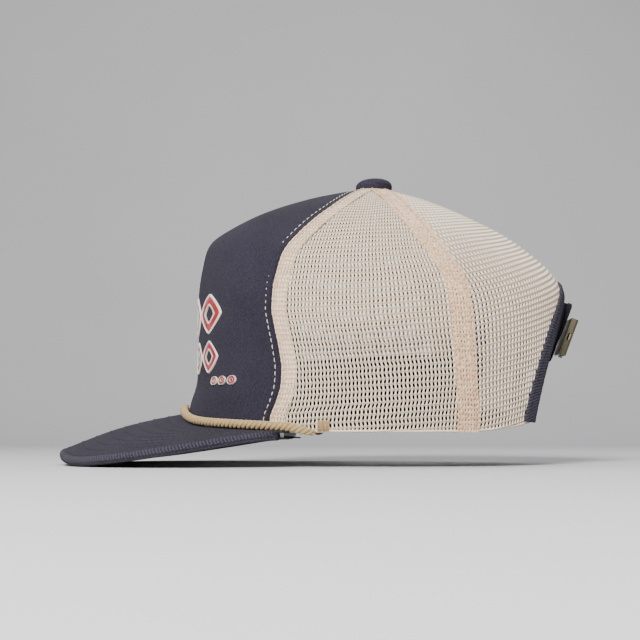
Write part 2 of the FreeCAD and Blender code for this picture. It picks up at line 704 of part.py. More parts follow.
frame_body = doc.addObject("PartDesign::Body", "buckle_frame")
plate = new_sketch(frame_body, "YZ_Plane", "plate_outline")
rectangle(plate, "-dims.buckle_length / 2", "-dims.buckle_height / 2",
          "dims.buckle_length", "dims.buckle_height")
pad(frame_body, plate, "dims.buckle_plate")
for knuckle_name, start in (("low_knuckle", "-dims.buckle_height / 2"),
                            ("high_knuckle", "dims.buckle_height / 2 - dims.knuckle_length")):
    knuckle = new_sketch(frame_body, "XY_Plane", knuckle_name, start)
    pin_circle(knuckle, "dims.knuckle_radius")
    pad(frame_body, knuckle, "dims.knuckle_length")
    foot = new_sketch(frame_body, "YZ_Plane", knuckle_name + "_foot")
    rectangle(foot, "-dims.buckle_length / 2", start, "2 * dims.knuckle_radius", "dims.knuckle_length")
    pad(frame_body, foot, PIN_OUT)
soften(frame_body, "plate_corners", "dims.corner_radius", free_corner)
bore(frame_body, "dims.pin_radius")
frame_body.Placement = BUCKLE_PLACE
keep(frame_body, "buckle_frame")

lever_body = doc.addObject("PartDesign::Body", "buckle_lever")
lever_knuckle = new_sketch(lever_body, "XY_Plane", "lever_knuckle")
pin_circle(lever_knuckle, "dims.knuckle_radius")
pad(lever_body, lever_knuckle, "dims.middle_knuckle", midplane=True)
neck = new_sketch(lever_body, "YZ_Plane", "lever_neck", LEVER_LOW_FACE)
rectangle(neck, PIN_ALONG, "-dims.middle_knuckle / 2", "dims.neck_width", "dims.middle_knuckle")
pad(lever_body, neck, "dims.lever_thick")
blade = new_sketch(lever_body, "YZ_Plane", "lever_blade", LEVER_LOW_FACE)
rectangle(blade, "dims.buckle_length / 2 - dims.lever_width", "-dims.buckle_height / 2",
          "dims.lever_width", "dims.buckle_height")
pad(lever_body, blade, "dims.lever_thick")
lip = new_sketch(lever_body, "YZ_Plane", "lever_lip", LEVER_LOW_FACE)
rectangle(lip, "dims.buckle_length / 2 - dims.lever_lip", "-dims.buckle_height / 2",
          "dims.lever_lip", "dims.buckle_height")
pad(lever_body, lip, "dims.lever_thick + dims.lever_lip")
soften(lever_body, "lever_corners", "dims.corner_radius / 2", free_corner)
bore(lever_body, "dims.pin_radius + dims.pin_clearance")
lever_body.Placement = BUCKLE_PLACE
keep(lever_body, "buckle_lever")

pin = doc.addObject("Part::Cylinder", "buckle_pin")
pin.setExpression("Radius", "dims.pin_radius")
pin.setExpression("Height", "dims.buckle_height")
doc.recompute()
pin_foot = Vec(dim("buckle_plate") + 1.25 * dim("knuckle_radius"),
               dim("knuckle_radius") - dim("buckle_length") / 2, -dim("buckle_height") / 2)
pin.Placement = BUCKLE_PLACE.multiply(FreeCAD.Placement(pin_foot, FreeCAD.Rotation()))
keep(pin, "buckle_pin")
hinge_axis = BUCKLE_PLACE.Rotation.multVec(Vec(0, 0, -1))
hinge_point = BUCKLE_PLACE.multVec(Vec(pin_foot.x, pin_foot.y, 0))
print("lever hinge: at %s, axis %s" % (hinge_point, hinge_axis))


# ---------------------------------------------------------------- raised motif on the front
def lozenge(y, z, half_width, half_height):
    corners = [Vec(0, y - half_width, z), Vec(0, y, z + half_height),
               Vec(0, y + half_width, z), Vec(0, y, z - half_height)]
    return Part.makePolygon(corners + corners[:1])


def disc(y, z, radius):
    return Part.Wire(Part.makeCircle(radius, Vec(0, y, z), Vec(1, 0, 0)))


MOTIF_FIELD = (14.0, 92.0)
raised = crown_patch(spread(-FRONT_SEAM, FRONT_SEAM, 17), lambda a: MOTIF_FIELD[0],
                     lambda a: climb_at(a, MOTIF_FIELD[1]), -dim("motif_gap") - dim("motif_lift"),
                     dim("motif_lift"), rows=18)


def motif(label, outlines):
    blocks = [prism(outline, -140.0, 90.0) for outline in outlines]
    feature(label, Part.makeCompound([raised.common(block) for block in blocks]))


motif("motif_upper", [lozenge(y, 63.0, 11.2, 11.0) for y in (-35.1, -11.7, 11.7, 35.1)])
motif("motif_lower", [lozenge(y, 40.0, 8.6, 9.0) for y in (-36.0, -18.0, 0.0, 18.0, 36.0)])
motif("motif_rings", [disc(y, 27.0, 2.4) for y in (-54.5, -48.5, -42.5)])

# ---------------------------------------------------------------- check and write
doc.recompute()
for obj in doc.Objects:
    if "Invalid" in obj.State or "Error" in obj.State:
        raise RuntimeError("failed: %s %s" % (obj.Name, obj.State))
for obj in parts:
    if obj.Shape.isNull() or not obj.Shape.isValid():
        raise RuntimeError("bad shape: " + obj.Label)
    if not obj.Shape.Solids:
        raise RuntimeError("no solid: " + obj.Label)

os.makedirs("parts", exist_ok=True)
for obj in parts:
    obj.Shape.exportStep("parts/%s.step" % obj.Label)
print("%d sub-parts" % len(parts))
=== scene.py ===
"""Trucker cap: the cloth, net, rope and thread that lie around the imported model, and their materials."""
import math

import bpy
import numpy as np
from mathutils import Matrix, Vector, noise


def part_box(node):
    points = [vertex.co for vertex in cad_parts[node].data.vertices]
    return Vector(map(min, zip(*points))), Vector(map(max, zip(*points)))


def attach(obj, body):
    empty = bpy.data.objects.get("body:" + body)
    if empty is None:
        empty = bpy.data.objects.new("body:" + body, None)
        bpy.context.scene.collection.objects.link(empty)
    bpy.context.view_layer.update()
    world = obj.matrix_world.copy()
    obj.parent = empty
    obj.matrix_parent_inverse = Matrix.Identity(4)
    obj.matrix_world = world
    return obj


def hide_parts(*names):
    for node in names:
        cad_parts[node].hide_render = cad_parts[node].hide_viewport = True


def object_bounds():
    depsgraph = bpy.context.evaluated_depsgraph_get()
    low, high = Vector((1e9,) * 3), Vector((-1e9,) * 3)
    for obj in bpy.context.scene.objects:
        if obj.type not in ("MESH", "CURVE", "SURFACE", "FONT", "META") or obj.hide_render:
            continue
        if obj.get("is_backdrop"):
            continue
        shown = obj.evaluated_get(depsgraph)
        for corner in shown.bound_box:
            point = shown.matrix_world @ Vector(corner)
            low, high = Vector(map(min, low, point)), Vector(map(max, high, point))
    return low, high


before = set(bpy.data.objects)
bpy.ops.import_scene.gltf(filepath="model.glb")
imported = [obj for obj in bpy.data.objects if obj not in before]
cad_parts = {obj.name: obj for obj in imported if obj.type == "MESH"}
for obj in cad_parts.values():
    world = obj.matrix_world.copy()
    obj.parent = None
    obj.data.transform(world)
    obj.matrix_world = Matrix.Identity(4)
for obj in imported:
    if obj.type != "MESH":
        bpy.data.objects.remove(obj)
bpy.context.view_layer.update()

MM = 0.001
RNG = np.random.default_rng(7)
SIDES = (("left", 1), ("right", -1))

# ---------------------------------------------------------------- crown surface, in millimetres
HEIGHT = 136.0
FRONT_SEAM, REAR_SEAM = 59.0, 118.0
FRONT_PROFILE = [(102.5, 0.0), (100.8, 15.0), (96.6, 29.0), (96.1, 52.0), (96.2, 76.0), (94.2, 93.0),
                 (90.6, 103.8), (81.2, 111.5), (63.0, 121.0), (38.0, 129.3), (14.0, HEIGHT - 1.5),
                 (0.0, HEIGHT)]
SIDE_PROFILE = [(82.0, 0.0), (83.0, 22.0), (82.5, 45.0), (79.5, 68.0), (72.0, 90.0), (59.5, 108.0),
                (42.0, 122.0), (22.0, 131.5), (8.0, HEIGHT - 0.7), (0.0, HEIGHT)]
REAR_PROFILE = [(99.0, 0.0), (102.5, 22.0), (105.5, 45.0), (107.0, 66.0), (105.5, 79.0), (99.0, 89.5),
                (88.0, 98.5), (69.0, 111.5), (42.0, 124.5), (19.0, 133.0), (0.0, HEIGHT)]
ARCH_HALF, ARCH_RISE, BINDING = 44.0, 76.0, 7.6


def catmull_rom(points, steps=60):
    """Points of a smooth curve through the given ones."""
    p = np.asarray(points, float)
    p = np.vstack([2 * p[0] - p[1], p, 2 * p[-1] - p[-2]])
    f = (np.arange(steps) / steps)[:, None]
    pieces = []
    for a, b, c, d in zip(p, p[1:], p[2:], p[3:]):
        pieces.append(0.5 * (2 * b + (c - a) * f + (2 * a - 5 * b + 4 * c - d) * f ** 2
                             + (3 * b - a - 3 * c + d) * f ** 3))
    return np.vstack(pieces + [p[-2:-1]])


def lengths_along(path):
    return np.concatenate([[0], np.cumsum(np.linalg.norm(np.diff(path, axis=0), axis=1))])


class Track:
    """A smooth curve that is read at a fraction of its length."""

    def __init__(self, points):
        self.path = catmull_rom(points)
        reached = lengths_along(self.path)
        self.length = reached[-1]
        self.share = reached / self.length

    def at(self, fraction):
        return [np.interp(fraction, self.share, column) for column in self.path.T]


FRONT, SIDE, REAR = Track(FRONT_PROFILE), Track(SIDE_PROFILE), Track(REAR_PROFILE)


def unit(vectors):
    return vectors / np.maximum(np.linalg.norm(vectors, axis=-1, keepdims=True), 1e-12)


def crown_point(azimuth, climb):
    """Points of the crown: azimuth in degrees from the front, climb from 0 at the edge to 1 at the top."""
    azimuth, climb = np.broadcast_arrays(np.asarray(azimuth, float), np.asarray(climb, float))
    along, across = np.cos(np.radians(azimuth)), np.sin(np.radians(azimuth))
    front_r, front_z = FRONT.at(climb)
    rear_r, rear_z = REAR.at(climb)
    side_r, side_z = SIDE.at(climb)
    end_r = np.where(along >= 0, front_r, rear_r)
    end_z = np.where(along >= 0, front_z, rear_z)
    return np.stack([-end_r * along, -side_r * across, end_z * along ** 2 + side_z * across ** 2], -1)


def crown_normal(azimuth, climb):
    """Unit vectors out of the crown."""
    step = 0.006
    around = crown_point(azimuth + 0.5, climb) - crown_point(azimuth - 0.5, climb)
    up = crown_point(azimuth, np.minimum(climb + step, 0.999)) - crown_point(
        azimuth, np.maximum(climb - step, 0.0))
    normal = unit(np.cross(around, up))
    outward = crown_point(azimuth, climb) - np.array([0, 0, HEIGHT / 3])
    return np.where((normal * outward).sum(-1, keepdims=True) < 0, -normal, normal)


def crown(azimuth, climb, out=0.0):
    """Points of the crown moved outward along the normal."""
    azimuth, climb = np.broadcast_arrays(np.asarray(azimuth, float), np.asarray(climb, float))
    return crown_point(azimuth, climb) + crown_normal(azimuth, climb) * np.asarray(out)[..., None]


def climb_at(azimuth, z):
    """How far up the crown the height z lies."""
    azimuth, z = np.broadcast_arrays(np.asarray(azimuth, float), np.asarray(z, float))
    low, high = np.zeros(z.shape), np.full(z.shape, 0.8)
    for _ in range(26):
        middle = (low + high) / 2
        below = crown_point(azimuth, middle)[..., 2] < z
        low = np.where(below, middle, low)
        high = np.where(below, high, middle)
    return (low + high) / 2


def on_side(y, z, rear):
    """Azimuth and climb of a place given by its width and height, at the rear or the front."""
    y, z = np.broadcast_arrays(np.asarray(y, float), np.asarray(z, float))
    base = 180.0 if rear else 0.0
    azimuth = np.full(y.shape, base)
    for _ in range(6):
        radius = SIDE.at(climb_at(azimuth, z))[0]
        swing = np.degrees(np.arcsin(np.clip(y / radius, -1, 1)))
        azimuth = base - swing
    return azimuth, climb_at(azimuth, z)


def row_metric(azimuth, climb):
    """Millimetres of crown per degree of azimuth."""
    return np.linalg.norm(crown_point(azimuth + 0.5, climb) - crown_point(azimuth - 0.5, climb), axis=-1)


def rise_length(azimuth):
    """Length of the crown from its edge to its top at one azimuth."""
    return lengths_along(crown_point(azimuth, np.linspace(0, 1, 200)))[-1]


VISOR_AZIMUTH, TEMPLE_DROP, JOINT_BOW, JOINT_RIDGE, RIDGE_SPREAD = 68.0, 1.8, 3.4, 7.0, 18.0
VISOR_SEAM, EDGE_RISE, RISE_START, RISE_SPAN = 3.0, 5.5, 112.0, 35.0


def visor_line(azimuth):
    """Height of the joint between visor and crown: a ridge in front on a low bow."""
    share = np.minimum(np.abs(azimuth) / VISOR_AZIMUTH, 1.0)
    ridge = JOINT_RIDGE * np.exp(-(np.abs(azimuth) / RIDGE_SPREAD) ** 2)
    return -TEMPLE_DROP + JOINT_BOW * np.cos(share * math.pi / 2) + ridge


def lower_edge(azimuth):
    """Height of the crown's lower edge, which rises over the visor and towards the rear opening."""
    rise = EDGE_RISE * (np.maximum(np.abs(azimuth) - RISE_START, 0.0) / RISE_SPAN) ** 2
    return np.maximum(visor_line(azimuth) - VISOR_SEAM, rise)


# how far the seams swing round the crown on their way up: climb, front seam, rear side seam
SWAY = np.array([(0.0, 0.0, 0.6), (0.045, 0.3, 0.3), (0.081, 1.8, -0.1), (0.119, 2.4, -0.8),
                 (0.183, 2.3, -1.6), (0.242, 1.0, -2.4), (0.275, 0.0, -2.9), (0.33, -1.4, -3.4),
                 (0.405, -1.1, -4.0), (0.443, -0.3, -4.6), (0.495, 0.6, -5.8), (0.545, 2.0, -7.2),
                 (0.595, 3.5, -8.6), (0.652, 5.4, -10.2), (0.719, 8.0, -11.4), (0.8, 10.0, -12.2),
                 (1.0, 10.5, -12.5)])


def bend(azimuth, climb):
    """Azimuth of a place on a panel, after the sway of the seams beside it."""
    size = np.abs(azimuth)
    front = np.interp(climb, SWAY[:, 0], SWAY[:, 1])
    rear = np.interp(climb, SWAY[:, 0], SWAY[:, 2])
    before = front * np.minimum(size / FRONT_SEAM, 1.0)
    between = (rear - front) * np.clip((size - FRONT_SEAM) / (REAR_SEAM - FRONT_SEAM), 0, 1)
    behind = -rear * np.clip((size - REAR_SEAM) / (180.0 - REAR_SEAM), 0, 1)
    return azimuth + np.sign(azimuth) * (before + between + behind)


# ---------------------------------------------------------------- mesh making
def make_mesh(name, points, faces, uv=None, smooth=True):
    """A mesh object from points in millimetres; uv holds one pair in millimetres for each point."""
    mesh = bpy.data.meshes.new(name)
    mesh.from_pydata((np.asarray(points) * MM).tolist(), [], [tuple(map(int, f)) for f in faces])
    mesh.polygons.foreach_set("use_smooth", [smooth] * len(mesh.polygons))
    if uv is not None:
        layer = mesh.uv_layers.new(name="cloth")
        corner = np.empty(len(mesh.loops), int)
        mesh.loops.foreach_get("vertex_index", corner)
        layer.data.foreach_set("uv", (np.asarray(uv)[corner] * MM).ravel())
    mesh.update()
    obj = bpy.data.objects.new(name, mesh)
    bpy.context.scene.collection.objects.link(obj)
    return obj


def tag(obj, values, name="band"):
    """Stores one number for each point, for the material to read."""
    layer = obj.data.attributes.new(name, "FLOAT", "POINT")
    layer.data.foreach_set("value", np.asarray(values, float).ravel())


def grid_faces(rows, columns, start=0, flip=False):
    i, j = np.meshgrid(np.arange(rows - 1), np.arange(columns - 1), indexing="ij")
    a = (i * columns + j + start).ravel()
    quads = np.stack([a, a + 1, a + columns + 1, a + columns], 1)
    return quads[:, ::-1] if flip else quads


def loft_faces(stations, sides, flip=False):
    """Quads between the closed rings of a loft, and the caps of its two ends."""
    i, j = np.meshgrid(np.arange(stations - 1), np.arange(sides), indexing="ij")
    a, b = (i * sides + j).ravel(), (i * sides + (j + 1) % sides).ravel()
    quads = np.stack([a, b, b + sides, a + sides], 1)
    first, last = list(range(sides)), list(range((stations - 1) * sides, stations * sides))
    if flip:
        return quads[:, [0, 3, 2, 1]].tolist() + [first, last[::-1]]
    return quads.tolist() + [first[::-1], last]


def pairs(along, around):
    """Every pair of a value along and a value around, as a grid."""
    return np.stack(np.broadcast_arrays(along, around), -1)


def full_turn(count):
    return np.linspace(0, 2 * math.pi, count, endpoint=False)


def facing_up(vectors):
    """Unit vectors along the given ones, turned over where they point down."""
    vectors = unit(vectors)
    return np.where(vectors[..., 2:] < 0, -vectors, vectors)


def sheet_mesh(name, outer, inner, uv, flip=False):
    """A closed sheet between two grids of points, with its edges filled."""
    rows, columns = outer.shape[:2]
    count = rows * columns
    faces = [grid_faces(rows, columns, 0, flip), grid_faces(rows, columns, count, not flip)]
    ring = ([(0, j) for j in range(columns)] + [(i, columns - 1) for i in range(1, rows)]
            + [(rows - 1, j) for j in range(columns - 2, -1, -1)] + [(i, 0) for i in range(rows - 2, 0, -1)])
    index = np.array([i * columns + j for i, j in ring])
    after = np.roll(index, -1)
    rim = np.stack([index, index + count, after + count, after], 1)
    faces.append(rim[:, ::-1] if flip else rim)
    points = np.vstack([outer.reshape(-1, 3), inner.reshape(-1, 3)])
    return make_mesh(name, points, np.vstack(faces), np.vstack([uv.reshape(-1, 2)] * 2))


def frames_along(path, lift):
    """Tangent, side and up vectors along a path; lift is roughly up."""
    tangent = unit(np.gradient(path, axis=0))
    side = unit(np.cross(tangent, lift))
    return tangent, side, np.cross(side, tangent)


class Tubes:
    """Collects round threads into one mesh."""

    def __init__(self):
        self.points, self.faces, self.uv, self.count = [], [], [], 0

    def add(self, path, lift, radius, sides=6, flat=1.0):
        path = np.asarray(path, float)
        radius = np.broadcast_to(radius, (len(path),))
        _, side, up = frames_along(path, lift)
        turn = full_turn(sides)
        ring = (np.cos(turn)[None, :, None] * side[:, None] * radius[:, None, None]
                + np.sin(turn)[None, :, None] * up[:, None] * radius[:, None, None] * flat)
        self.points.append((path[:, None] + ring).reshape(-1, 3))
        run = lengths_along(path)
        self.uv.append(pairs(run[:, None], turn * radius.mean()).reshape(-1, 2))
        faces = loft_faces(len(path), sides)
        self.faces += [[self.count + k for k in face] for face in faces]
        self.count += len(path) * sides

    def build(self, name):
        return make_mesh(name, np.vstack(self.points), self.faces, np.vstack(self.uv))


def resample(path, step):
    reached = lengths_along(path)
    goals = np.linspace(0, reached[-1], max(int(round(reached[-1] / step)) + 1, 2))
    return np.stack([np.interp(goals, reached, column) for column in path.T], 1)


def stitch_row(tubes, path, normal, stitch=2.6, gap=0.9, radius=0.26, lift=0.18):
    """A row of separate stitches that come up out of the cloth and go back into it."""
    reached = lengths_along(path)
    count = max(int(reached[-1] / (stitch + gap)), 1)
    pitch = reached[-1] / count
    shape = np.array([-0.9, -0.1, 0.75, 1.0, 0.75, -0.1, -0.9])
    share = np.linspace(0, 1, len(shape))
    for k in range(count):
        wobble = RNG.normal(0, 0.05, 2)
        at = (k + 0.5 * gap / pitch + share * stitch / pitch) * pitch + wobble[0]
        centre = np.stack([np.interp(at, reached, column) for column in path.T], 1)
        up = np.stack([np.interp(at, reached, column) for column in normal.T], 1)
        centre = centre + up * (lift * shape + 0.02 * wobble[1])[:, None]
        taper = radius * np.array([0.55, 0.85, 1, 1, 1, 0.85, 0.55])
        tubes.add(centre, up, taper, sides=6, flat=0.8)


# ---------------------------------------------------------------- materials
class Paint:
    """A material that is put together from texture nodes."""

    def __init__(self, name, roughness=0.8, specular=0.3, sheen=0.0, metallic=0.0):
        self.material = bpy.data.materials.new(name)
        self.material.use_nodes = True
        self.tree = self.material.node_tree
        self.shader = self.tree.nodes["Principled BSDF"]
        self.shader.inputs["Roughness"].default_value = roughness
        self.shader.inputs["Specular IOR Level"].default_value = specular
        self.shader.inputs["Sheen Weight"].default_value = sheen
        self.shader.inputs["Metallic"].default_value = metallic
        self.height = None

    def node(self, kind, **settings):
        made = self.tree.nodes.new(kind)
        for key, value in settings.items():
            setattr(made, key, value)
        return made

    def link(self, source, socket):
        self.tree.links.new(source, socket)

    def math(self, operation, first, second=None, third=None):
        made = self.node("ShaderNodeMath", operation=operation)
        for socket, value in zip(made.inputs, (first, second, third)):
            if value is None:
                continue
            if isinstance(value, (int, float)):
                socket.default_value = value
            else:
                self.link(value, socket)
        return made.outputs[0]

    def plus(self, first, second):
        return self.math("ADD", first, second)

    def times(self, first, second):
        return self.math("MULTIPLY", first, second)

    def scaled(self, value, factor, more):
        """The value times the factor, plus more."""
        return self.math("MULTIPLY_ADD", value, factor, more)

    def uv(self):
        """Cloth coordinates, in millimetres."""
        parts = self.split(self.node("ShaderNodeUVMap", uv_map="cloth").outputs[0])
        return [self.times(parts[k], 1000.0) for k in (0, 1)]

    def place(self):
        """Object coordinates, in millimetres."""
        source = self.node("ShaderNodeTexCoord")
        scaled = self.node("ShaderNodeVectorMath", operation="SCALE")
        self.link(source.outputs["Object"], scaled.inputs[0])
        scaled.inputs["Scale"].default_value = 1000.0
        return scaled.outputs[0]

    def split(self, vector):
        parts = self.node("ShaderNodeSeparateXYZ")
        self.link(vector, parts.inputs[0])
        return parts.outputs

    def wave(self, value, pitch, shift=0.0):
        """A smooth wave between 0 and 1 that repeats every pitch."""
        turned = self.scaled(value, 2 * math.pi / pitch, shift)
        return self.scaled(self.math("SINE", turned), 0.5, 0.5)

    def noise(self, scale, detail=3.0, roughness=0.55):
        """Noise over object coordinates; scale is a feature's size in millimetres."""
        made = self.node("ShaderNodeTexNoise")
        self.link(self.place(), made.inputs["Vector"])
        made.inputs["Scale"].default_value = 1.0 / scale
        made.inputs["Detail"].default_value = detail
        made.inputs["Roughness"].default_value = roughness
        return made.outputs[0]

    def clip(self, value):
        """The value kept between 0 and 1."""
        made = self.node("ShaderNodeClamp")
        self.link(value, made.inputs["Value"])
        return made.outputs[0]

    def blend(self, factor, first, second):
        made = self.node("ShaderNodeMix", data_type="RGBA")
        self.link(factor, made.inputs["Factor"])
        for socket, value in ((made.inputs["A"], first), (made.inputs["B"], second)):
            if isinstance(value, tuple):
                socket.default_value = (*value, 1.0)
            else:
                self.link(value, socket)
        return made.outputs["Result"]

    def remap(self, value, low, high):
        made = self.node("ShaderNodeMapRange")
        self.link(value, made.inputs["Value"])
        made.inputs["To Min"].default_value = low
        made.inputs["To Max"].default_value = high
        return made.outputs[0]

    def finish(self, colour, roughness=None, height=None, depth=0.1):
        """Joins the maps to the shader; depth is the relief in millimetres."""
        if isinstance(colour, tuple):
            self.shader.inputs["Base Color"].default_value = (*colour, 1.0)
        else:
            self.link(colour, self.shader.inputs["Base Color"])
        if roughness is not None:
            self.link(roughness, self.shader.inputs["Roughness"])
        if height is not None:
            bump = self.node("ShaderNodeBump")
            bump.inputs["Distance"].default_value = depth * MM
            self.link(height, bump.inputs["Height"])
            self.link(bump.outputs[0], self.shader.inputs["Normal"])
        return self.material


def twill(name, dark, light, pitch=0.95, depth=0.22, rib=0.45):
    """Diagonal ribs of yarn over a fine cross weave, with a little uneven dye."""
    paint = Paint(name, sheen=0.03, specular=0.12)
    u, v = paint.uv()
    diagonal = paint.plus(u, paint.times(v, 0.62))
    uneven = paint.times(paint.noise(1.4, 2), 0.5)
    ribs = paint.wave(paint.plus(diagonal, uneven), pitch)
    yarn = paint.wave(paint.math("SUBTRACT", v, paint.times(u, 0.25)), pitch * 0.42)
    weave = paint.scaled(yarn, 0.35, paint.times(ribs, 0.65))
    fleck = paint.noise(0.8, 2)
    cloud = paint.noise(26.0, 3)
    tone = paint.plus(paint.times(weave, rib), paint.scaled(fleck, 1.1, -0.38))
    tone = paint.plus(tone, paint.scaled(cloud, 0.4, -0.15))
    return paint.finish(paint.blend(tone, dark, light), paint.remap(weave, 0.95, 0.77), weave, depth)


def thread(name, dark, light, sheen=0.2):
    """Twisted sewing thread: slanting plies along its length."""
    paint = Paint(name, sheen=sheen, specular=0.25)
    u, v = paint.uv()
    plies = paint.wave(paint.plus(u, paint.times(v, 0.9)), 0.6)
    tone = paint.scaled(paint.noise(3.0, 2), 0.5, paint.times(plies, 0.5))
    return paint.finish(paint.blend(tone, dark, light), paint.remap(plies, 0.67, 0.45), plies, 0.08)


def rope_fibre(name):
    """Satin strands of fine filaments."""
    paint = Paint(name, sheen=0.3, specular=0.5)
    u, v = paint.uv()
    filaments = paint.wave(paint.scaled(u, 0.22, v), 0.34)
    streak = paint.noise(1.1, 3)
    tone = paint.plus(paint.times(filaments, 0.45), paint.times(streak, 0.6))
    return paint.finish(paint.blend(tone, (0.15, 0.08, 0.018), (0.66, 0.46, 0.19)),
                        paint.remap(filaments, 0.5, 0.32), filaments, 0.12)


def net_fibre(name):
    """Glossy cream pillars with painted tan shade along the rows between them; a folded band has blotchy
    peach loops.
    """
    paint = Paint(name, sheen=0.1, specular=0.5)
    row = paint.node("ShaderNodeAttribute", attribute_name="row").outputs["Fac"]
    band = paint.node("ShaderNodeAttribute", attribute_name="band").outputs["Fac"]
    u, v = paint.uv()
    strands = paint.wave(paint.plus(u, paint.times(v, 0.6)), 0.42)
    cream = paint.blend(paint.noise(5.0, 3), (0.92, 0.83, 0.67), (1.0, 0.94, 0.82))
    # painted shade: this tan stands in for the shade on the net's rows between the bright pillars
    painted_row_shade = paint.blend(strands, (0.24, 0.125, 0.05), (0.48, 0.29, 0.14))
    blotch = paint.scaled(paint.noise(1.1, 3), 3.2, -1.1)
    loops = paint.blend(paint.clip(blotch), (0.58, 0.23, 0.07), (0.98, 0.79, 0.56))
    cream_with_row_shade = paint.blend(paint.times(row, 0.95), cream, painted_row_shade)
    colour = paint.blend(paint.times(band, 0.85), cream_with_row_shade, loops)
    return paint.finish(colour, paint.remap(strands, 0.46, 0.26), strands, 0.1)


def satin_stitch(name, dark, light):
    """Close parallel threads of embroidery."""
    paint = Paint(name, sheen=0.05, specular=0.35)
    u, _ = paint.uv()
    threads = paint.wave(paint.plus(u, paint.times(paint.noise(0.9, 2), 0.25)), 0.42)
    tone = paint.scaled(paint.noise(2.0, 2), 0.6, paint.times(threads, 0.5))
    return paint.finish(paint.blend(tone, dark, light), paint.remap(threads, 0.6, 0.38), threads, 0.2)


def plain_weave(name, dark, light, pitch, depth=0.15, roughness=0.85, specular=0.25):
    """Over-and-under weave on object coordinates, for pieces that carry no cloth coordinates."""
    paint = Paint(name, sheen=0.2, specular=specular)
    x, y, z = paint.split(paint.place())
    around = paint.math("ARCTAN2", y, x)
    warp = paint.wave(paint.times(around, 85.0), pitch)
    weft = paint.wave(z, pitch)
    cross = paint.math("ABSOLUTE", paint.math("SUBTRACT", warp, weft))
    fleck = paint.noise(1.3, 3)
    tone = paint.scaled(cross, 0.55, paint.times(fleck, 0.45))
    return paint.finish(paint.blend(tone, dark, light), paint.remap(fleck, roughness + 0.1, roughness - 0.1),
                        cross, depth)


def brass_finish(name):
    """Aged brass: tarnished brown with brighter rubbed patches, both spread by noise."""
    paint = Paint(name, metallic=1.0, specular=0.5)
    tarnish = paint.noise(3.2, 6, 0.65)
    scratch = paint.noise(0.35, 4)
    worn = paint.scaled(scratch, 0.3, paint.times(tarnish, 0.8))
    colour = paint.blend(worn, (0.05, 0.044, 0.028), (0.20, 0.175, 0.115))
    return paint.finish(colour, paint.remap(worn, 0.62, 0.3), scratch, 0.03)


def grained(name, size, detail, dark, light, rough, depth, **look):
    """A fine grain over the surface, rougher where it is low."""
    paint = Paint(name, **look)
    grain = paint.noise(size, detail)
    return paint.finish(paint.blend(grain, dark, light), paint.remap(grain, *rough), grain, depth)


NAVY = twill("navy_twill", (0.004, 0.0035, 0.007), (0.044, 0.038, 0.062), depth=0.3)
NAVY_BIAS = twill("navy_binding", (0.002, 0.002, 0.004), (0.060, 0.055, 0.080), pitch=1.7, depth=0.6,
                  rib=0.85)
UNDERSIDE = twill("dark_underside", (0.004, 0.004, 0.007), (0.028, 0.026, 0.042))
SWEAT_CLOTH = twill("sweatband_cloth", (0.004, 0.004, 0.007), (0.020, 0.020, 0.030), pitch=0.7,
                    depth=0.12)
NET = net_fibre("cream_mesh")
ROPE = rope_fibre("gold_rope")
CREAM_THREAD = thread("cream_thread", (0.50, 0.45, 0.37), (0.84, 0.79, 0.68))
NAVY_THREAD = thread("navy_thread", (0.003, 0.003, 0.006), (0.030, 0.027, 0.042), sheen=0.02)
TAN_THREAD = thread("tan_thread", (0.42, 0.26, 0.13), (0.76, 0.56, 0.36))
GOLD_THREAD = thread("gold_thread", (0.20, 0.11, 0.03), (0.62, 0.43, 0.19))
RED_SATIN = satin_stitch("red_satin", (0.20, 0.004, 0.006), (0.58, 0.018, 0.024))
WHITE_SATIN = satin_stitch("white_satin", (0.66, 0.62, 0.55), (0.93, 0.90, 0.83))
BRASS = brass_finish("aged_brass")
ALUMINIUM = grained("button_metal", 0.5, 5, (0.55, 0.56, 0.58), (0.80, 0.81, 0.83), (0.5, 0.28), 0.02,
                    metallic=1.0, specular=0.5)
BOARD = grained("board_plastic", 1.2, 4, (0.74, 0.74, 0.72), (0.86, 0.86, 0.84), (0.7, 0.5), 0.05,
                roughness=0.6)
BUCKRAM = plain_weave("buckram", (0.50, 0.50, 0.48), (0.84, 0.84, 0.81), pitch=1.6, depth=0.3)
TAPE = plain_weave("seam_tape", (0.030, 0.034, 0.055), (0.11, 0.12, 0.17), pitch=0.8)
LABEL = plain_weave("label_cloth", (0.52, 0.51, 0.48), (0.80, 0.79, 0.75), pitch=0.5, depth=0.08,
                    roughness=0.5, specular=0.4)

CARRIED = (
    ("front_buckram_", "left right", BUCKRAM), ("woven_", "label", LABEL), ("visor_", "board", BOARD),
    ("seam_tape_", "front rear front_side_left front_side_right rear_side_left rear_side_right", TAPE),
    ("button_", "shell rivet washer", ALUMINIUM), ("buckle_", "frame lever pin", BRASS),
)
for prefix, endings, carried_material in CARRIED:
    for ending in endings.split():
        carried_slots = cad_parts[prefix + ending].data.materials
        carried_slots.clear()
        carried_slots.append(carried_material)


def finish_piece(obj, material, nodes=()):
    """Gives a piece its material and slot, and fixes it to the cap."""
    obj.data.materials.append(material)
    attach(obj, "cap")
    if nodes:
        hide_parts(*nodes)
    return obj


def ripple(points, size, amount, seed):
    """Smooth unevenness for each point, in millimetres."""
    flat = points.reshape(-1, 3) / size + seed * 17.3
    return amount * np.array([noise.noise(Vector(p)) for p in flat]).reshape(points.shape[:-1])


# ---------------------------------------------------------------- front panels
TWILL_THICK = 0.9


def cloth_uv(azimuth, climb, middle):
    """Cloth coordinates of a crown panel: across from the panel's middle and up from its edge."""
    across = (azimuth - middle) * row_metric(azimuth, climb)
    up = climb * rise_length(middle)
    return np.stack([across, up], -1)


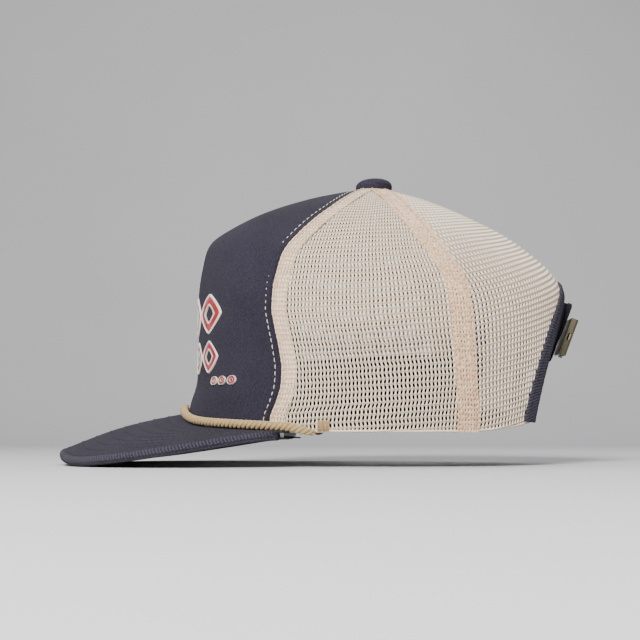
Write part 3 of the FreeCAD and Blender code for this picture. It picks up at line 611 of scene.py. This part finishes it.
def front_panel(name, side):
    columns, rows = 60, 120
    share = np.linspace(0, 1, columns)[:, None]
    azimuth = side * (0.05 + (FRONT_SEAM - 0.1) * share)
    low = climb_at(azimuth, lower_edge(azimuth))
    climb = low + (0.975 - low) * np.linspace(0, 1, rows)[None]
    azimuth = np.broadcast_to(azimuth, climb.shape)
    metric = row_metric(azimuth, climb)
    place = bend(azimuth, climb)
    to_front = np.abs(azimuth) * metric
    to_side = (FRONT_SEAM - np.abs(azimuth)) * metric
    seam_dip = -0.75 * np.exp(-(to_front / 0.9) ** 2) - 0.75 * np.exp(-(to_side / 0.9) ** 2)
    base = crown(place, climb)
    pucker = ripple(base, 7.0, 0.16, side) * (np.exp(-to_front / 7) + np.exp(-to_side / 7))
    sag = ripple(base, 30.0, 0.7, side + 3)
    out = seam_dip + pucker + sag
    outer = base + crown_normal(place, climb) * out[..., None]
    inner = crown(place, climb, -TWILL_THICK + 0.02 + np.minimum(out, 0))
    obj = sheet_mesh("front_cloth_" + name, outer, inner, cloth_uv(azimuth, climb, side * FRONT_SEAM / 2),
                     flip=side < 0)
    finish_piece(obj, NAVY, ["front_panel_" + name])


for side_name, side_sign in SIDES:
    front_panel(side_name, side_sign)


def seam_path(seam, away, low_z, high, out):
    """A line on the crown that keeps a distance from a seam, with its normals."""
    climb = np.linspace(float(climb_at(seam, low_z)), high, 240)
    centre = bend(np.full(240, seam), climb)
    azimuth = centre + away / row_metric(centre, climb)
    path = resample(crown(azimuth, climb, out), 0.6)
    share, known = np.linspace(0, 1, len(path)), np.linspace(0, 1, 240)
    return path, crown_normal(np.interp(share, known, azimuth), np.interp(share, known, climb))


front_stitches = Tubes()
for _, side_sign in SIDES:
    stitch_row(front_stitches, *seam_path(side_sign * FRONT_SEAM, -side_sign * 3.7, 5.0, 0.93, 0.1),
               stitch=2.3, gap=1.1, radius=0.21)
    stitch_row(front_stitches, *seam_path(0.0, side_sign * 2.4, 12.0, 0.95, 0.1),
               stitch=2.3, gap=0.8, radius=0.22)
finish_piece(front_stitches.build("front_topstitch"), CREAM_THREAD)


# ---------------------------------------------------------------- net panels
CELL_WIDE, CELL_TALL = 2.05, 2.9
NET_THICK = 0.75
TOP_CLIMB = 0.975


def net_mesh(name, keep, place, columns, rows, hole, band):
    """An open net: place maps net coordinates in cells to points; hole and band read a cell's centre."""
    i, j = np.meshgrid(np.arange(columns[0], columns[1]), np.arange(rows[0], rows[1]), indexing="ij")
    centre_u, centre_v = i.ravel() + 0.5, j.ravel() + 0.5
    kept = keep(centre_u, centre_v)
    centre_u, centre_v, column, row = centre_u[kept], centre_v[kept], i.ravel()[kept], j.ravel()[kept]
    offsets = np.array([(-0.5, -0.5), (0, -0.5), (0.5, -0.5), (0.5, 0), (0.5, 0.5), (0, 0.5), (-0.5, 0.5),
                        (-0.5, 0)])
    turn = np.arctan2(offsets[:, 1], offsets[:, 0])
    size = hole(centre_u, centre_v)
    lean = np.where(row % 2 == 0, 0.24, -0.24)

    def oval(wide, tall):
        x = wide * np.cos(turn)[None] * size[:, None]
        y = tall * np.sin(turn)[None] * size[:, None]
        return np.stack([centre_u[:, None] + x + lean[:, None] * y, centre_v[:, None] + y], -1)

    lattice = np.stack([column, row], -1)[:, None] * 2 + 1 + offsets[None] * 2
    unique, back = np.unique(lattice.astype(int).reshape(-1, 2), axis=0, return_inverse=True)
    back = back.reshape(-1, 8)
    shared = unique / 2.0
    cells = len(centre_u)
    inner, rim = oval(0.40, 0.45), oval(0.31, 0.385)
    coordinates = [shared, inner.reshape(-1, 2), rim.reshape(-1, 2), shared, rim.reshape(-1, 2)]
    is_row = (unique[:, 1] % 2 == 0) & (unique[:, 0] % 2 == 1)
    is_knot = (unique[:, 1] % 2 == 0) & (unique[:, 0] % 2 == 0)
    front_lift = np.where(is_row, 0.05, np.where(is_knot, 0.16, 0.02))
    lifts = [front_lift, np.full(cells * 8, 0.0), np.full(cells * 8, -0.28),
             np.full(len(shared), -NET_THICK), np.full(cells * 8, -NET_THICK + 0.18)]
    # painted shade: row bars, knots and the top and bottom lips of each hole carry the tan row shade
    around_hole = np.tile(np.abs(np.sin(turn)) ** 3, cells)
    on_row = np.where(is_row | is_knot, 1.0, 0.0)
    row_shade_tint = [on_row, around_hole, around_hole, on_row, around_hole]
    u = np.concatenate([c[:, 0] for c in coordinates])
    v = np.concatenate([c[:, 1] for c in coordinates])
    points = place(u, v, np.concatenate(lifts))
    n = len(shared)
    start_inner, start_rim, start_back, start_hole = n, n + 8 * cells, n + 16 * cells, 2 * n + 16 * cells
    own = np.arange(cells)[:, None] * 8 + np.arange(8)[None]
    following = np.roll(np.arange(8), -1)

    def ring(a, b):
        return np.stack([a, a[:, following], b[:, following], b], -1).reshape(-1, 4)

    faces = np.vstack([ring(back, start_inner + own), ring(start_inner + own, start_rim + own),
                       ring(start_rim + own, start_hole + own), ring(start_hole + own, start_back + back)])
    obj = make_mesh(name, points, faces, np.stack([u * CELL_WIDE, v * CELL_TALL], -1))
    tag(obj, np.concatenate(row_shade_tint), "row")
    tag(obj, band(u, v), "band")
    return obj


def panel_net(name, start, end, side, slope, nodes, keep_extra=None):
    """The net of one crown panel, cut where it passes the seams."""
    middle = side * (start + end) / 2
    length = rise_length(middle)

    def locate(u, v):
        climb = np.clip((v * CELL_TALL + slope * side * u * CELL_WIDE) / length, 0, TOP_CLIMB)
        return middle + u * CELL_WIDE / row_metric(middle, climb), climb

    def edges(azimuth, climb):
        metric = row_metric(azimuth, climb)
        return (np.abs(azimuth) - start) * metric, (end - np.abs(azimuth)) * metric

    def place(u, v, lift):
        azimuth, climb = locate(u, v)
        azimuth = side * np.clip(side * azimuth, start + 0.1, end - 0.1)
        climb = np.maximum(climb, climb_at(azimuth, lower_edge(azimuth) + 0.2))
        sag = 0.35 * np.sin(climb * 23 + side) * np.sin(np.radians(azimuth) * 9)
        return crown(bend(azimuth, climb), climb, lift - 0.15 + sag)

    def keep(u, v):
        azimuth, climb = locate(u, v)
        near, far = edges(azimuth, climb)
        inside = (near > -0.9) & (far > -0.9) & (climb < TOP_CLIMB - 0.003)
        inside &= climb > climb_at(azimuth, lower_edge(azimuth)) + 0.0005
        if keep_extra is not None:
            inside &= keep_extra(bend(azimuth, climb), climb)
        return inside

    def band(u, v):
        azimuth, climb = locate(u, v)
        near, far = edges(azimuth, climb)
        first, strength = (9.0, 0.45) if start == FRONT_SEAM else (6.0, 1.0)
        return np.maximum(strength * np.clip(0.5 - near + first, 0, 1), np.clip(6.5 - far, 0, 1))

    def hole(u, v):
        climb = locate(u, v)[1]
        return (1.02 - 0.2 * np.clip((climb - 0.25) / 0.06, 0, 1)) * (1.0 - 0.3 * band(u, v))

    half = int(1.25 * np.radians(end - start) * 105 / 2 / CELL_WIDE) + 2
    obj = net_mesh(name, keep, place, (-half, half), (-12, int(length / CELL_TALL) + 14), hole, band)
    return finish_piece(obj, NET, nodes)


def outside_arch(azimuth, climb):
    point = crown_point(azimuth, climb)
    reach = (point[..., 1] / (ARCH_HALF + 2.5)) ** 2 + (point[..., 2] / (ARCH_RISE + 2.5)) ** 2
    return reach > 1.0


for side_name, side_sign in SIDES:
    panel_net("side_net_" + side_name, FRONT_SEAM, REAR_SEAM, side_sign, 0.06, ["side_mesh_" + side_name])
    panel_net("rear_net_" + side_name, REAR_SEAM, 180.0, side_sign, 0.23, ["rear_mesh_" + side_name],
              outside_arch)


FOLD_TOP, FOLD_OUT = 0.955, 0.42


def seam_fold(name, seam, from_mm, to_mm, tint):
    """The net doubled beside a seam, from one distance to another across it, with smaller holes."""
    columns = int(round(abs(to_mm - from_mm) / (CELL_WIDE * 0.8)))
    rows = int(round(rise_length(seam) * FOLD_TOP / (CELL_TALL * 0.85)))

    def place(u, v, lift):
        share_u, share_v = u / columns, v / rows
        climb = share_v * FOLD_TOP
        centre = bend(np.full(climb.shape, seam), climb)
        loops = 0.22 * np.sin(share_v * 410 + 9 * np.sin(share_u * 40)) * np.sin(share_u * 31 + share_v * 130)
        azimuth = centre + (from_mm + (to_mm - from_mm) * share_u) / row_metric(centre, climb)
        return crown(azimuth, climb, FOLD_OUT + lift * 0.6 + loops)

    def same(value):
        return lambda u, v: np.full(u.shape, value)

    obj = net_mesh(name, same(True), place, (0, columns), (0, rows), same(0.7), same(tint))
    finish_piece(obj, NET)


for side_name, side_sign in SIDES:
    seam_fold("seam_fold_front_" + side_name, side_sign * FRONT_SEAM, side_sign * 0.2, side_sign * 8.6, 0.45)
    seam_fold("seam_fold_rear_" + side_name, side_sign * REAR_SEAM, -side_sign * 5.8, side_sign * 5.8, 1.0)

HEM_END, HEM_TALL, HEM_OUTSIDE, HEM_INSIDE = 141.8, 8.9, -1.52, -2.05


def hem(name, side):
    """A dark tape inside the net's lower edge, and the net's edge turned over it."""
    azimuth = side * np.linspace(FRONT_SEAM + 0.4, HEM_END, 150)[:, None]
    rise = np.linspace(0.2, HEM_TALL, 8)[None]
    z = lower_edge(azimuth) + rise
    azimuth = np.broadcast_to(azimuth, z.shape)
    climb = climb_at(azimuth, z)
    place = bend(azimuth, climb)
    ease = 0.1 * np.sin(np.radians(azimuth) * 60)
    obj = sheet_mesh("hem_tape_" + name, crown(place, climb, HEM_OUTSIDE + ease),
                     crown(place, climb, HEM_INSIDE + ease), np.stack([azimuth * 1.5, z], -1), flip=side < 0)
    finish_piece(obj, SWEAT_CLOTH, ["mesh_hem_" + name])
    edge = side * np.linspace(FRONT_SEAM + 0.6, HEM_END, 300)
    height = climb_at(edge, lower_edge(edge) + 0.5)
    turned = Tubes()
    path = resample(crown(bend(edge, height), height, -0.5), 0.8)
    turned.add(path, np.array([0, 0, 1.0]), 0.62, sides=8, flat=1.15)
    obj = turned.build("hem_edge_" + name)
    # the turned edge takes part of the painted row shade and part of the peach band
    for attribute, tint in (("row", 0.35), ("band", 0.3)):
        tag(obj, np.full(len(obj.data.vertices), tint), attribute)
    finish_piece(obj, NET)


for side_name, side_sign in SIDES:
    hem(side_name, side_sign)

net_stitches = Tubes()
for _, side_sign in SIDES:
    stitch_row(net_stitches, *seam_path(side_sign * FRONT_SEAM, side_sign * 1.6, 3.0, 0.93, 0.75))
    stitch_row(net_stitches, *seam_path(side_sign * REAR_SEAM, -side_sign * 3.6, 2.0, 0.93, 0.75))
    stitch_row(net_stitches, *seam_path(side_sign * REAR_SEAM, side_sign * 3.6, 2.0, 0.93, 0.75))
    stitch_row(net_stitches, *seam_path(180.0, side_sign * 2.2, ARCH_RISE + BINDING + 1, 0.95, 0.3))
finish_piece(net_stitches.build("net_topstitch"), TAN_THREAD)

# the rear seam stands up a little where the two rear nets are joined
ridge = Tubes()
ridge_climb = np.linspace(float(climb_at(180.0, ARCH_RISE + BINDING)), 0.97, 160)
ridge.add(crown(180.0, ridge_climb, 0.1), crown_normal(180.0, ridge_climb), 0.7, sides=8, flat=0.7)
finish_piece(ridge.build("rear_seam_ridge"), TAN_THREAD)


# ---------------------------------------------------------------- binding of the rear opening
STITCH_OUT = 6.0


def arch_place(turn, out_width, lift):
    """Points on the binding: turn in radians round the arch, width out from the opening's edge."""
    y = -(ARCH_HALF + out_width) * np.cos(turn)
    z = (ARCH_RISE + out_width) * np.sin(turn)
    azimuth, climb = on_side(y, np.maximum(z, 0), True)
    return crown(azimuth, climb, lift)


def rear_binding():
    """Bias tape folded over the opening's edge."""
    section = np.array([(7.4, 0.15), (7.5, 0.5), (7.2, 0.85), (5.4, 1.0), (3.0, 1.08), (1.2, 1.05),
                        (0.2, 0.75), (-0.2, 0.0), (-0.2, -0.9), (0.2, -1.7), (1.2, -2.0), (3.0, -2.05),
                        (5.4, -1.95), (7.1, -1.7), (7.3, -1.3)])
    stations = 150
    turn = np.linspace(0.066, math.pi - 0.066, stations)[:, None]
    wide = np.broadcast_to(section[:, 0], (stations, len(section)))
    lift = np.broadcast_to(section[:, 1], (stations, len(section)))
    puckers = 0.06 * np.sin(turn * 95)
    points = arch_place(np.broadcast_to(turn, wide.shape), wide, lift + puckers)
    run = lengths_along(points[:, 3])
    around = lengths_along(np.vstack([section, section[:1]]))[:-1]
    obj = make_mesh("rear_binding", points.reshape(-1, 3), loft_faces(stations, len(section), flip=True),
                    pairs(run[:, None], around[None]).reshape(-1, 2))
    finish_piece(obj, NAVY_BIAS, ["arch_binding"])
    turn = np.linspace(0.09, math.pi - 0.09, 400)
    path = arch_place(turn, STITCH_OUT, 1.0)
    across, up = -(ARCH_HALF + STITCH_OUT) * np.cos(turn), (ARCH_RISE + STITCH_OUT) * np.sin(turn)
    azimuth, climb = on_side(across, up, True)
    stitches = Tubes()
    stitch_row(stitches, path, crown_normal(azimuth, climb), stitch=2.4, gap=0.8)
    finish_piece(stitches.build("rear_binding_stitch"), NAVY_THREAD)


rear_binding()


# ---------------------------------------------------------------- sweatband and inside stitching
def band_top(azimuth):
    return 33.0 + 9.0 * np.sin(np.radians(azimuth) / 2) ** 2


def sweatband():
    """A folded cloth band with a rolled top edge."""
    columns, rows = 260, 26
    azimuth = np.linspace(-142.8, 142.8, columns)[:, None]
    share = np.linspace(0, 1, rows)[None]
    low = lower_edge(azimuth) + 0.8
    z = low + (band_top(azimuth) - low) * share
    azimuth = np.broadcast_to(azimuth, z.shape)
    climb = climb_at(azimuth, z)
    half = 0.7 * (1 - np.abs(2 * share - 1) ** 6) ** 0.5 + 0.05
    wave = 0.35 * np.sin(np.radians(azimuth) * 11) * share ** 2
    roll = 0.25 * np.exp(-((1 - share) * 38 / 2.2) ** 2)
    middle = -3.5 - wave
    place = bend(azimuth, climb)
    outer = crown(place, climb, middle + half)
    inner = crown(place, climb, middle - half - roll)
    uv = np.stack([azimuth * 1.5, z], -1)
    obj = sheet_mesh("sweatband_cloth", outer, inner, uv)
    finish_piece(obj, SWEAT_CLOTH, ["sweatband"])
    stitches = Tubes()
    line = np.linspace(-141, 141, 700)
    for level in (band_top(line) - 3.2, band_top(line) - 4.6, lower_edge(line) + 3.0):
        height = climb_at(line, level)
        stitch_row(stitches, crown(line, height, -4.28), -crown_normal(line, height), stitch=2.8, gap=1.0,
                   radius=0.22)
    finish_piece(stitches.build("sweatband_stitch"), NAVY_THREAD)


sweatband()

tape_stitches = Tubes()
for seam in (0.0, FRONT_SEAM, -FRONT_SEAM, REAR_SEAM, -REAR_SEAM, 180.0):
    low_z = 36.0 if abs(seam) < 1 else (86.0 if seam == 180.0 else 45.0)
    for away in (-4.2, 4.2):
        path, normals = seam_path(seam, away, low_z, 0.915, -2.68)
        stitch_row(tape_stitches, path, -normals, stitch=2.6, gap=0.9, radius=0.22)
finish_piece(tape_stitches.build("seam_tape_stitch"), CREAM_THREAD)

# ---------------------------------------------------------------- visor
WIDE = 89.0
NOSE_X = -169.5
LEFT_OUTLINE = [(-43.0, -78.5, -1.5), (-60.0, -0.96 * WIDE, -2.8), (-92.0, -WIDE, -7.8),
                (-124.0, -0.93 * WIDE, -12.4), (-149.5, -0.71 * WIDE, -14.7), (-163.0, -0.39 * WIDE, -13.4)]
OUTLINE = Track(LEFT_OUTLINE + [(NOSE_X, 0.0, -11.0)] + [(x, -y, z) for x, y, z in reversed(LEFT_OUTLINE)])
VISOR_END = 0.97
VISOR_BOW = 2.4


def visor_place(share, out, lift, beyond=0.0):
    """Points of the visor: share across, out from the crown to the edge, lift above its middle."""
    share, out, lift, beyond = np.broadcast_arrays(share, out, lift, beyond)

    def ends(s):
        azimuth = s * VISOR_AZIMUTH
        start = crown(azimuth, climb_at(azimuth, visor_line(azimuth)), 1.0)
        start[..., 2] = visor_line(azimuth)
        return start, np.stack(OUTLINE.at(0.5 - 0.5 * s), -1)

    start, end = ends(share)
    near_a, near_b = ends(np.minimum(share + 0.01, 1)), ends(np.maximum(share - 0.01, -1))
    across = ((near_a[0] - near_b[0]) * (1 - out[..., None]) + (near_a[1] - near_b[1]) * out[..., None])
    up = facing_up(np.cross(across, end - start))
    bow = VISOR_BOW * np.sin(math.pi * out) * (1 - share ** 2)
    return (start + (end - start) * out[..., None] + unit(end - start) * beyond[..., None]
            + up * (lift + bow)[..., None])


def visor_shares(count):
    """Shares across the visor, closer together towards its ends."""
    return VISOR_END * np.sin(np.linspace(-1.45, 1.45, count)) / math.sin(1.45)


def visor_sheet(name, low, high, material, nodes, crown_up):
    """One cloth layer of the visor."""
    share = visor_shares(170)[:, None]
    out = np.linspace(0, 1, 44)[None]
    rows = 0.09 * np.cos(out * (1 + 0 * share) * 2 * math.pi * 9)
    base = visor_place(share, out, 0.0)
    uneven = ripple(base, 22.0, 0.18, 5)
    top_lift = high + (rows * 0.5 + uneven if crown_up else 0)
    bottom_lift = low + (0 if crown_up else rows * 0.5 + uneven)
    outer = visor_place(share, out, top_lift)
    inner = visor_place(share, out, bottom_lift)
    obj = sheet_mesh(name, outer, inner, base[..., [1, 0]], flip=True)
    finish_piece(obj, material, nodes)


visor_sheet("visor_top_cloth", 1.25, 2.05, NAVY, ["visor_top_fabric"], True)
visor_sheet("visor_under_cloth", -2.05, -1.25, UNDERSIDE, ["visor_under_fabric"], False)


def visor_edge():
    """Bias cloth rolled round the visor's edge."""
    turn = full_turn(20)
    beyond = 0.1 + 2.45 * np.where(np.cos(turn) > 0, np.cos(turn), 0) + 2.2 * np.minimum(np.cos(turn), 0)
    lift = 2.35 * np.sign(np.sin(turn)) * np.abs(np.sin(turn)) ** 0.8
    share = visor_shares(260)[:, None]
    points = visor_place(share, 1.0, lift[None], beyond[None])
    run = lengths_along(points[:, 0])
    obj = make_mesh("visor_edge_cloth", points.reshape(-1, 3), loft_faces(*points.shape[:2]),
                    pairs(run[:, None], turn[None] * 2.4).reshape(-1, 2))
    finish_piece(obj, NAVY_BIAS, ["visor_edge_binding"])


visor_edge()

STITCH_ROWS, FIRST_ROW, ROW_PITCH, ROW_LIFT = 8, 0.965, 0.118, 2.08
visor_stitches = Tubes()
for row in range(STITCH_ROWS):
    row_out = FIRST_ROW - ROW_PITCH * row
    shares = visor_shares(700) * 0.985
    path = visor_place(shares, row_out, ROW_LIFT)
    outward = visor_place(shares, row_out + 0.01, ROW_LIFT) - path
    above = facing_up(np.cross(unit(np.gradient(path, axis=0)), outward))
    stitch_row(visor_stitches, path, above, stitch=2.6, gap=0.8, radius=0.2, lift=0.12)
finish_piece(visor_stitches.build("visor_topstitch"), NAVY_THREAD)


# ---------------------------------------------------------------- rope
ROPE_END, ROPE_LIFT, ROPE_FALL, ROPE_OUT, ROPE_SPREAD = 74.0, 4.5, 3.2, 2.7, 0.6
FALL_START, STRANDS, TWIST_PITCH, STRAND_OUT, STRAND_RADIUS = 0.9, 3, 8.4, 1.38, 0.99
TACK_THREADS, TACK_START, TACK_STEP = 9, 0.3, 0.38


def rope_centre(azimuth):
    """The rope rests on the visor against the crown and comes down at the temples."""
    share = np.abs(azimuth) / ROPE_END
    fall = np.clip((share - FALL_START) / (1 - FALL_START), 0, 1)
    climb = climb_at(azimuth, visor_line(azimuth) + ROPE_LIFT - ROPE_FALL * fall)
    return crown(azimuth, climb, ROPE_OUT + ROPE_SPREAD * fall)


def rope():
    """Three strands twisted round each other, drawn closer and thinner at both ends."""
    azimuth = np.linspace(-ROPE_END, ROPE_END, 600)
    centre = resample(rope_centre(azimuth), 0.55)
    lift = crown_normal(np.linspace(-ROPE_END, ROPE_END, len(centre)), 0.05)
    _, side, up = frames_along(centre, lift)
    run = lengths_along(centre)
    ends = np.clip(np.minimum(run, run[-1] - run) / 7.0, 0, 1) ** 0.5
    tubes = Tubes()
    for k in range(STRANDS):
        angle = run * 2 * math.pi / TWIST_PITCH + k * 2 * math.pi / STRANDS
        round_centre = np.cos(angle)[:, None] * side + np.sin(angle)[:, None] * up
        offset = STRAND_OUT * (0.35 + 0.65 * ends)[:, None] * round_centre
        tubes.add(centre + offset, up, STRAND_RADIUS * (0.45 + 0.55 * ends), sides=14)
    finish_piece(tubes.build("twisted_rope"), ROPE, ["rope"])


rope()


def rope_tack(name, side):
    """A bar of close stitches that holds the rope's end."""
    tubes = Tubes()
    for k in range(TACK_THREADS):
        azimuth = side * (ROPE_END + TACK_START + TACK_STEP * k)
        z = np.linspace(0.6, 6.0, 9)
        climb = climb_at(azimuth, z)
        arc = 0.55 * np.sin(np.linspace(0, math.pi, 9)) + 0.35
        tubes.add(crown(azimuth, climb, arc), crown_normal(azimuth, climb), 0.27, sides=6)
    finish_piece(tubes.build("rope_end_tack_" + name), GOLD_THREAD, ["rope_tack_" + name])


for side_name, side_sign in SIDES:
    rope_tack(side_name, side_sign)


# ---------------------------------------------------------------- top button
def button():
    """Cloth gathered over a dome."""
    rings, spokes = 34, 96
    low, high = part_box("button_cover")
    centre = np.array([(low.x + high.x) / 2, 0, low.z]) / MM - np.array([0, 0, 0.45])
    radius = (high.y - low.y) / 2 / MM
    rise = (high.z - low.z) / MM + 0.35
    belly = 0.34 * rise
    tilt, under_angle = math.radians(-2.0), 1.95
    turn = full_turn(spokes)[None]
    share = np.linspace(0.02, 1.0, rings)[:, None]
    polar = share * under_angle
    gather = 0.2 * np.sin(turn * 14 + 0.8 * np.sin(turn * 3)) * np.clip(share - 0.55, 0, 1) ** 1.5 * 2.2
    reach = (radius + 0.1) * np.sin(polar) ** 0.85 + gather
    cos = np.cos(polar)
    height = belly + np.where(cos > 0, (rise - belly) * np.abs(cos) ** 0.9,
                              belly * cos / abs(math.cos(under_angle)))
    x, y = reach * np.cos(turn), reach * np.sin(turn)
    z = np.broadcast_to(height, x.shape)
    dome = [x * math.cos(tilt) + z * math.sin(tilt), y, -x * math.sin(tilt) + z * math.cos(tilt)]
    points = np.stack(dome, -1).reshape(-1, 3) + centre
    hub = centre + np.array([rise * math.sin(tilt), 0, rise * math.cos(tilt)])
    under = points[-spokes:] * 1.0
    under[:, :2] = centre[:2] + (under[:, :2] - centre[:2]) * 0.86
    under[:, 2] += 0.5
    points = np.vstack([points, under, hub[None]])
    faces = loft_faces(rings + 1, spokes, flip=True)
    faces[-2:-1] = [(len(points) - 1, j, (j + 1) % spokes) for j in range(spokes)]
    obj = make_mesh("button_cloth", points, faces, points[:, :2] - centre[:2])
    finish_piece(obj, NAVY, ["button_cover"])


button()


# ---------------------------------------------------------------- closing strap
FREE_SPAN = 0.8
STRAP_THICK = 1.2


def strap_place(across, up, depth):
    """Points of the strap: across from -1, wearer's left, to 1, and up from 0 to 1."""
    across, up, depth = np.broadcast_arrays(across, up, depth)
    half = 40.0 - 18.0 * up
    low = 38.5 - 5.0 * across ** 2
    high = 71.5 + 3.0 * across ** 2
    bulge = (-3.0 + 12.0 * up) * np.where(np.abs(across) < FREE_SPAN,
                                          np.cos(math.pi / 2 * across / FREE_SPAN) ** 2, 0)
    azimuth, climb = on_side(half * across, low + (high - low) * up, True)
    point = crown(azimuth, climb, -depth)
    point[..., 0] += bulge
    return point


def strap(name, start, end, depth, node):
    """A twill tab with soft edges and two rows of stitching."""
    columns, rows = 70, 30
    across = np.linspace(start, end, columns)[:, None]
    share = np.linspace(0, 1, rows)[None]
    half = STRAP_THICK / 2 * (1 - np.abs(2 * share - 1) ** 10) ** 0.5 + 0.02
    tip = np.clip(np.minimum(across - start, end - across) * 40, 0, 1) ** 0.5
    half = half * (0.35 + 0.65 * tip)
    middle = depth + STRAP_THICK / 2
    base = strap_place(across, share, middle)
    sag = ripple(base, 9.0, 0.12, 11)
    outer = strap_place(across, share, middle - half + sag)
    inner = strap_place(across, share, middle + half + sag)
    obj = sheet_mesh(name, outer, inner, base[..., 1:], flip=True)
    finish_piece(obj, NAVY, [node])
    stitches = Tubes()
    for rise in (0.075, 0.925):
        line = np.linspace(start + 0.02, end - 0.02, 200)
        path = strap_place(line, rise, depth)
        above = unit(path - strap_place(line, rise, depth + 1))
        stitch_row(stitches, path, above, stitch=2.3, gap=0.8, radius=0.2, lift=0.14)
    finish_piece(stitches.build(name + "_stitch"), NAVY_THREAD)


strap("strap_left_cloth", -1.0, 0.3, 3.1, "strap_left_tab")
strap("strap_right_cloth", -0.42, 1.0, 4.5, "strap_right_tongue")


# ---------------------------------------------------------------- embroidered motif
def lozenge_outline(turn, half_wide, half_tall, roundness):
    """A diamond with rounded corners, or a circle for a roundness of 2, as distances across and up."""
    cos, sin = np.cos(turn), np.sin(turn)
    reach = (np.abs(cos) ** roundness + np.abs(sin) ** roundness) ** (-1 / roundness)
    return half_wide * reach * cos, half_tall * reach * sin


def stitched_ring(points, faces, uv, centre, size, inner, outer, height, roundness):
    """Adds a raised ring of satin stitch between two scales of the lozenge."""
    spokes, lanes = 96, 9
    turn = full_turn(spokes)[:, None]
    lane = np.linspace(0, 1, lanes)[None]
    scale = inner + (outer - inner) * lane
    wide, tall = lozenge_outline(turn, size[0], size[1], roundness)
    y, z = centre[0] + wide * scale, centre[1] + tall * scale
    azimuth, climb = on_side(y, z, False)
    lift = 0.25 + height * (1 - np.abs(2 * lane - 1) ** 2.6) + 0.03 * np.sin(turn * 60)
    lift = np.where((lane == 0) | (lane == 1), -0.1, lift)
    start = sum(len(p) for p in points)
    points.append(crown(azimuth, climb, lift).reshape(-1, 3))
    run = turn / (2 * math.pi) * 2.9 * (size[0] + size[1])
    uv.append(pairs(run, scale * size[0]).reshape(-1, 2))
    i, j = np.meshgrid(np.arange(spokes), np.arange(lanes - 1), indexing="ij")
    a = start + (i * lanes + j).ravel()
    b = start + ((i + 1) % spokes * lanes + j).ravel()
    faces.append(np.stack([a, a + 1, b + 1, b], 1))


def motif(name, centres, size, node, hole=0.40, roundness=1.25):
    """A row of ring-shaped lozenges: a coloured band between two pale outlines."""
    for layer, material, bands in (("fill", RED_SATIN, [(hole + 0.08, 0.90, 0.45)]),
                                   ("outline", WHITE_SATIN, [(0.86, 1.0, 0.62), (hole, hole + 0.13, 0.62)])):
        points, faces, uv = [], [], []
        for centre in centres:
            for inner, outer, height in bands:
                stitched_ring(points, faces, uv, centre, size, inner, outer, height, roundness)
        obj = make_mesh(name + "_" + layer, np.vstack(points), np.vstack(faces), np.vstack(uv))
        finish_piece(obj, material, [node] if layer == "fill" else ())


motif("motif_upper", [(y, 63.0) for y in (-35.1, -11.7, 11.7, 35.1)], (11.1, 10.9), "motif_upper")
motif("motif_lower", [(y, 40.0) for y in (-36.0, -18.0, 0.0, 18.0, 36.0)], (8.5, 8.9), "motif_lower")
motif("motif_rings", [(y, 27.0) for y in (-54.5, -48.5, -42.5)], (2.4, 2.4), "motif_rings", hole=0.3,
      roundness=2.0)


# ---------------------------------------------------------------- stage
def stage():
    """A pale floor that curves up into a back wall, just below the cap; in metres."""
    floor_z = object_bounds()[0].z - 0.0005
    mesh = bpy.data.meshes.new("studio_floor")
    reach, back, tall, curve = 3.0, 1.6, 2.4, 0.6
    profile = [(-reach, 0.0), (back - curve, 0.0)]
    profile += [(back - curve + curve * math.sin(a), curve - curve * math.cos(a))
                for a in np.linspace(0.1, math.pi / 2, 14)]
    profile.append((back, tall))
    vertices = [(x, y, z + floor_z) for y, z in profile for x in (-reach, reach)]
    strips = [(2 * k, 2 * k + 1, 2 * k + 3, 2 * k + 2) for k in range(len(profile) - 1)]
    mesh.from_pydata(vertices, [], strips)
    mesh.polygons.foreach_set("use_smooth", [True] * len(mesh.polygons))
    floor = bpy.data.objects.new("studio_floor", mesh)
    bpy.context.scene.collection.objects.link(floor)
    paint = Paint("pale_floor", roughness=0.9)
    grain = paint.noise(400.0, 3)
    mesh.materials.append(paint.finish(paint.blend(grain, (0.50, 0.50, 0.515), (0.57, 0.57, 0.585))))
    floor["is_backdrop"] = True


def area_light(name, place, aim, size, power, tint=(1, 1, 1)):
    data = bpy.data.lights.new(name, "AREA")
    data.shape = "RECTANGLE"
    data.size, data.size_y = size
    data.energy = power
    data.color = tint
    lamp = bpy.data.objects.new(name, data)
    lamp.location = place
    lamp.rotation_euler = (Vector(aim) - Vector(place)).to_track_quat("-Z", "Y").to_euler()
    bpy.context.scene.collection.objects.link(lamp)


CAMERA_PLACE, CAMERA_LENS, SENSOR_WIDTH = (-0.0113, -0.735, 0.0), 74.0, 36.0
AIR_COLOUR, AIR_STRENGTH = (0.85, 0.88, 0.92, 1), 0.3


def light_and_camera():
    area_light("key_light", (-0.35, -1.25, 0.8), (0, 0, 0.06), (0.45, 0.45), 50.0, (1.0, 0.98, 0.95))
    area_light("fill_light", (-1.3, -0.5, 0.6), (0, 0, 0.05), (1.2, 1.0), 6.0, (0.95, 0.96, 1.0))
    area_light("top_light", (0.3, 0.6, 1.4), (0, 0, 0.08), (1.2, 1.2), 12.0)
    world = bpy.data.worlds.new("studio_air")
    world.use_nodes = True
    air = world.node_tree.nodes["Background"].inputs
    air[0].default_value, air[1].default_value = AIR_COLOUR, AIR_STRENGTH
    bpy.context.scene.world = world
    camera = bpy.data.cameras.new("camera")
    camera.lens, camera.sensor_width = CAMERA_LENS, SENSOR_WIDTH
    eye = bpy.data.objects.new("camera", camera)
    eye.location = CAMERA_PLACE
    low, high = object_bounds()
    eye.rotation_euler = ((low + high) / 2 - eye.location).to_track_quat("-Z", "Y").to_euler()
    bpy.context.scene.collection.objects.link(eye)
    bpy.context.scene.camera = eye


light_and_camera()
stage()
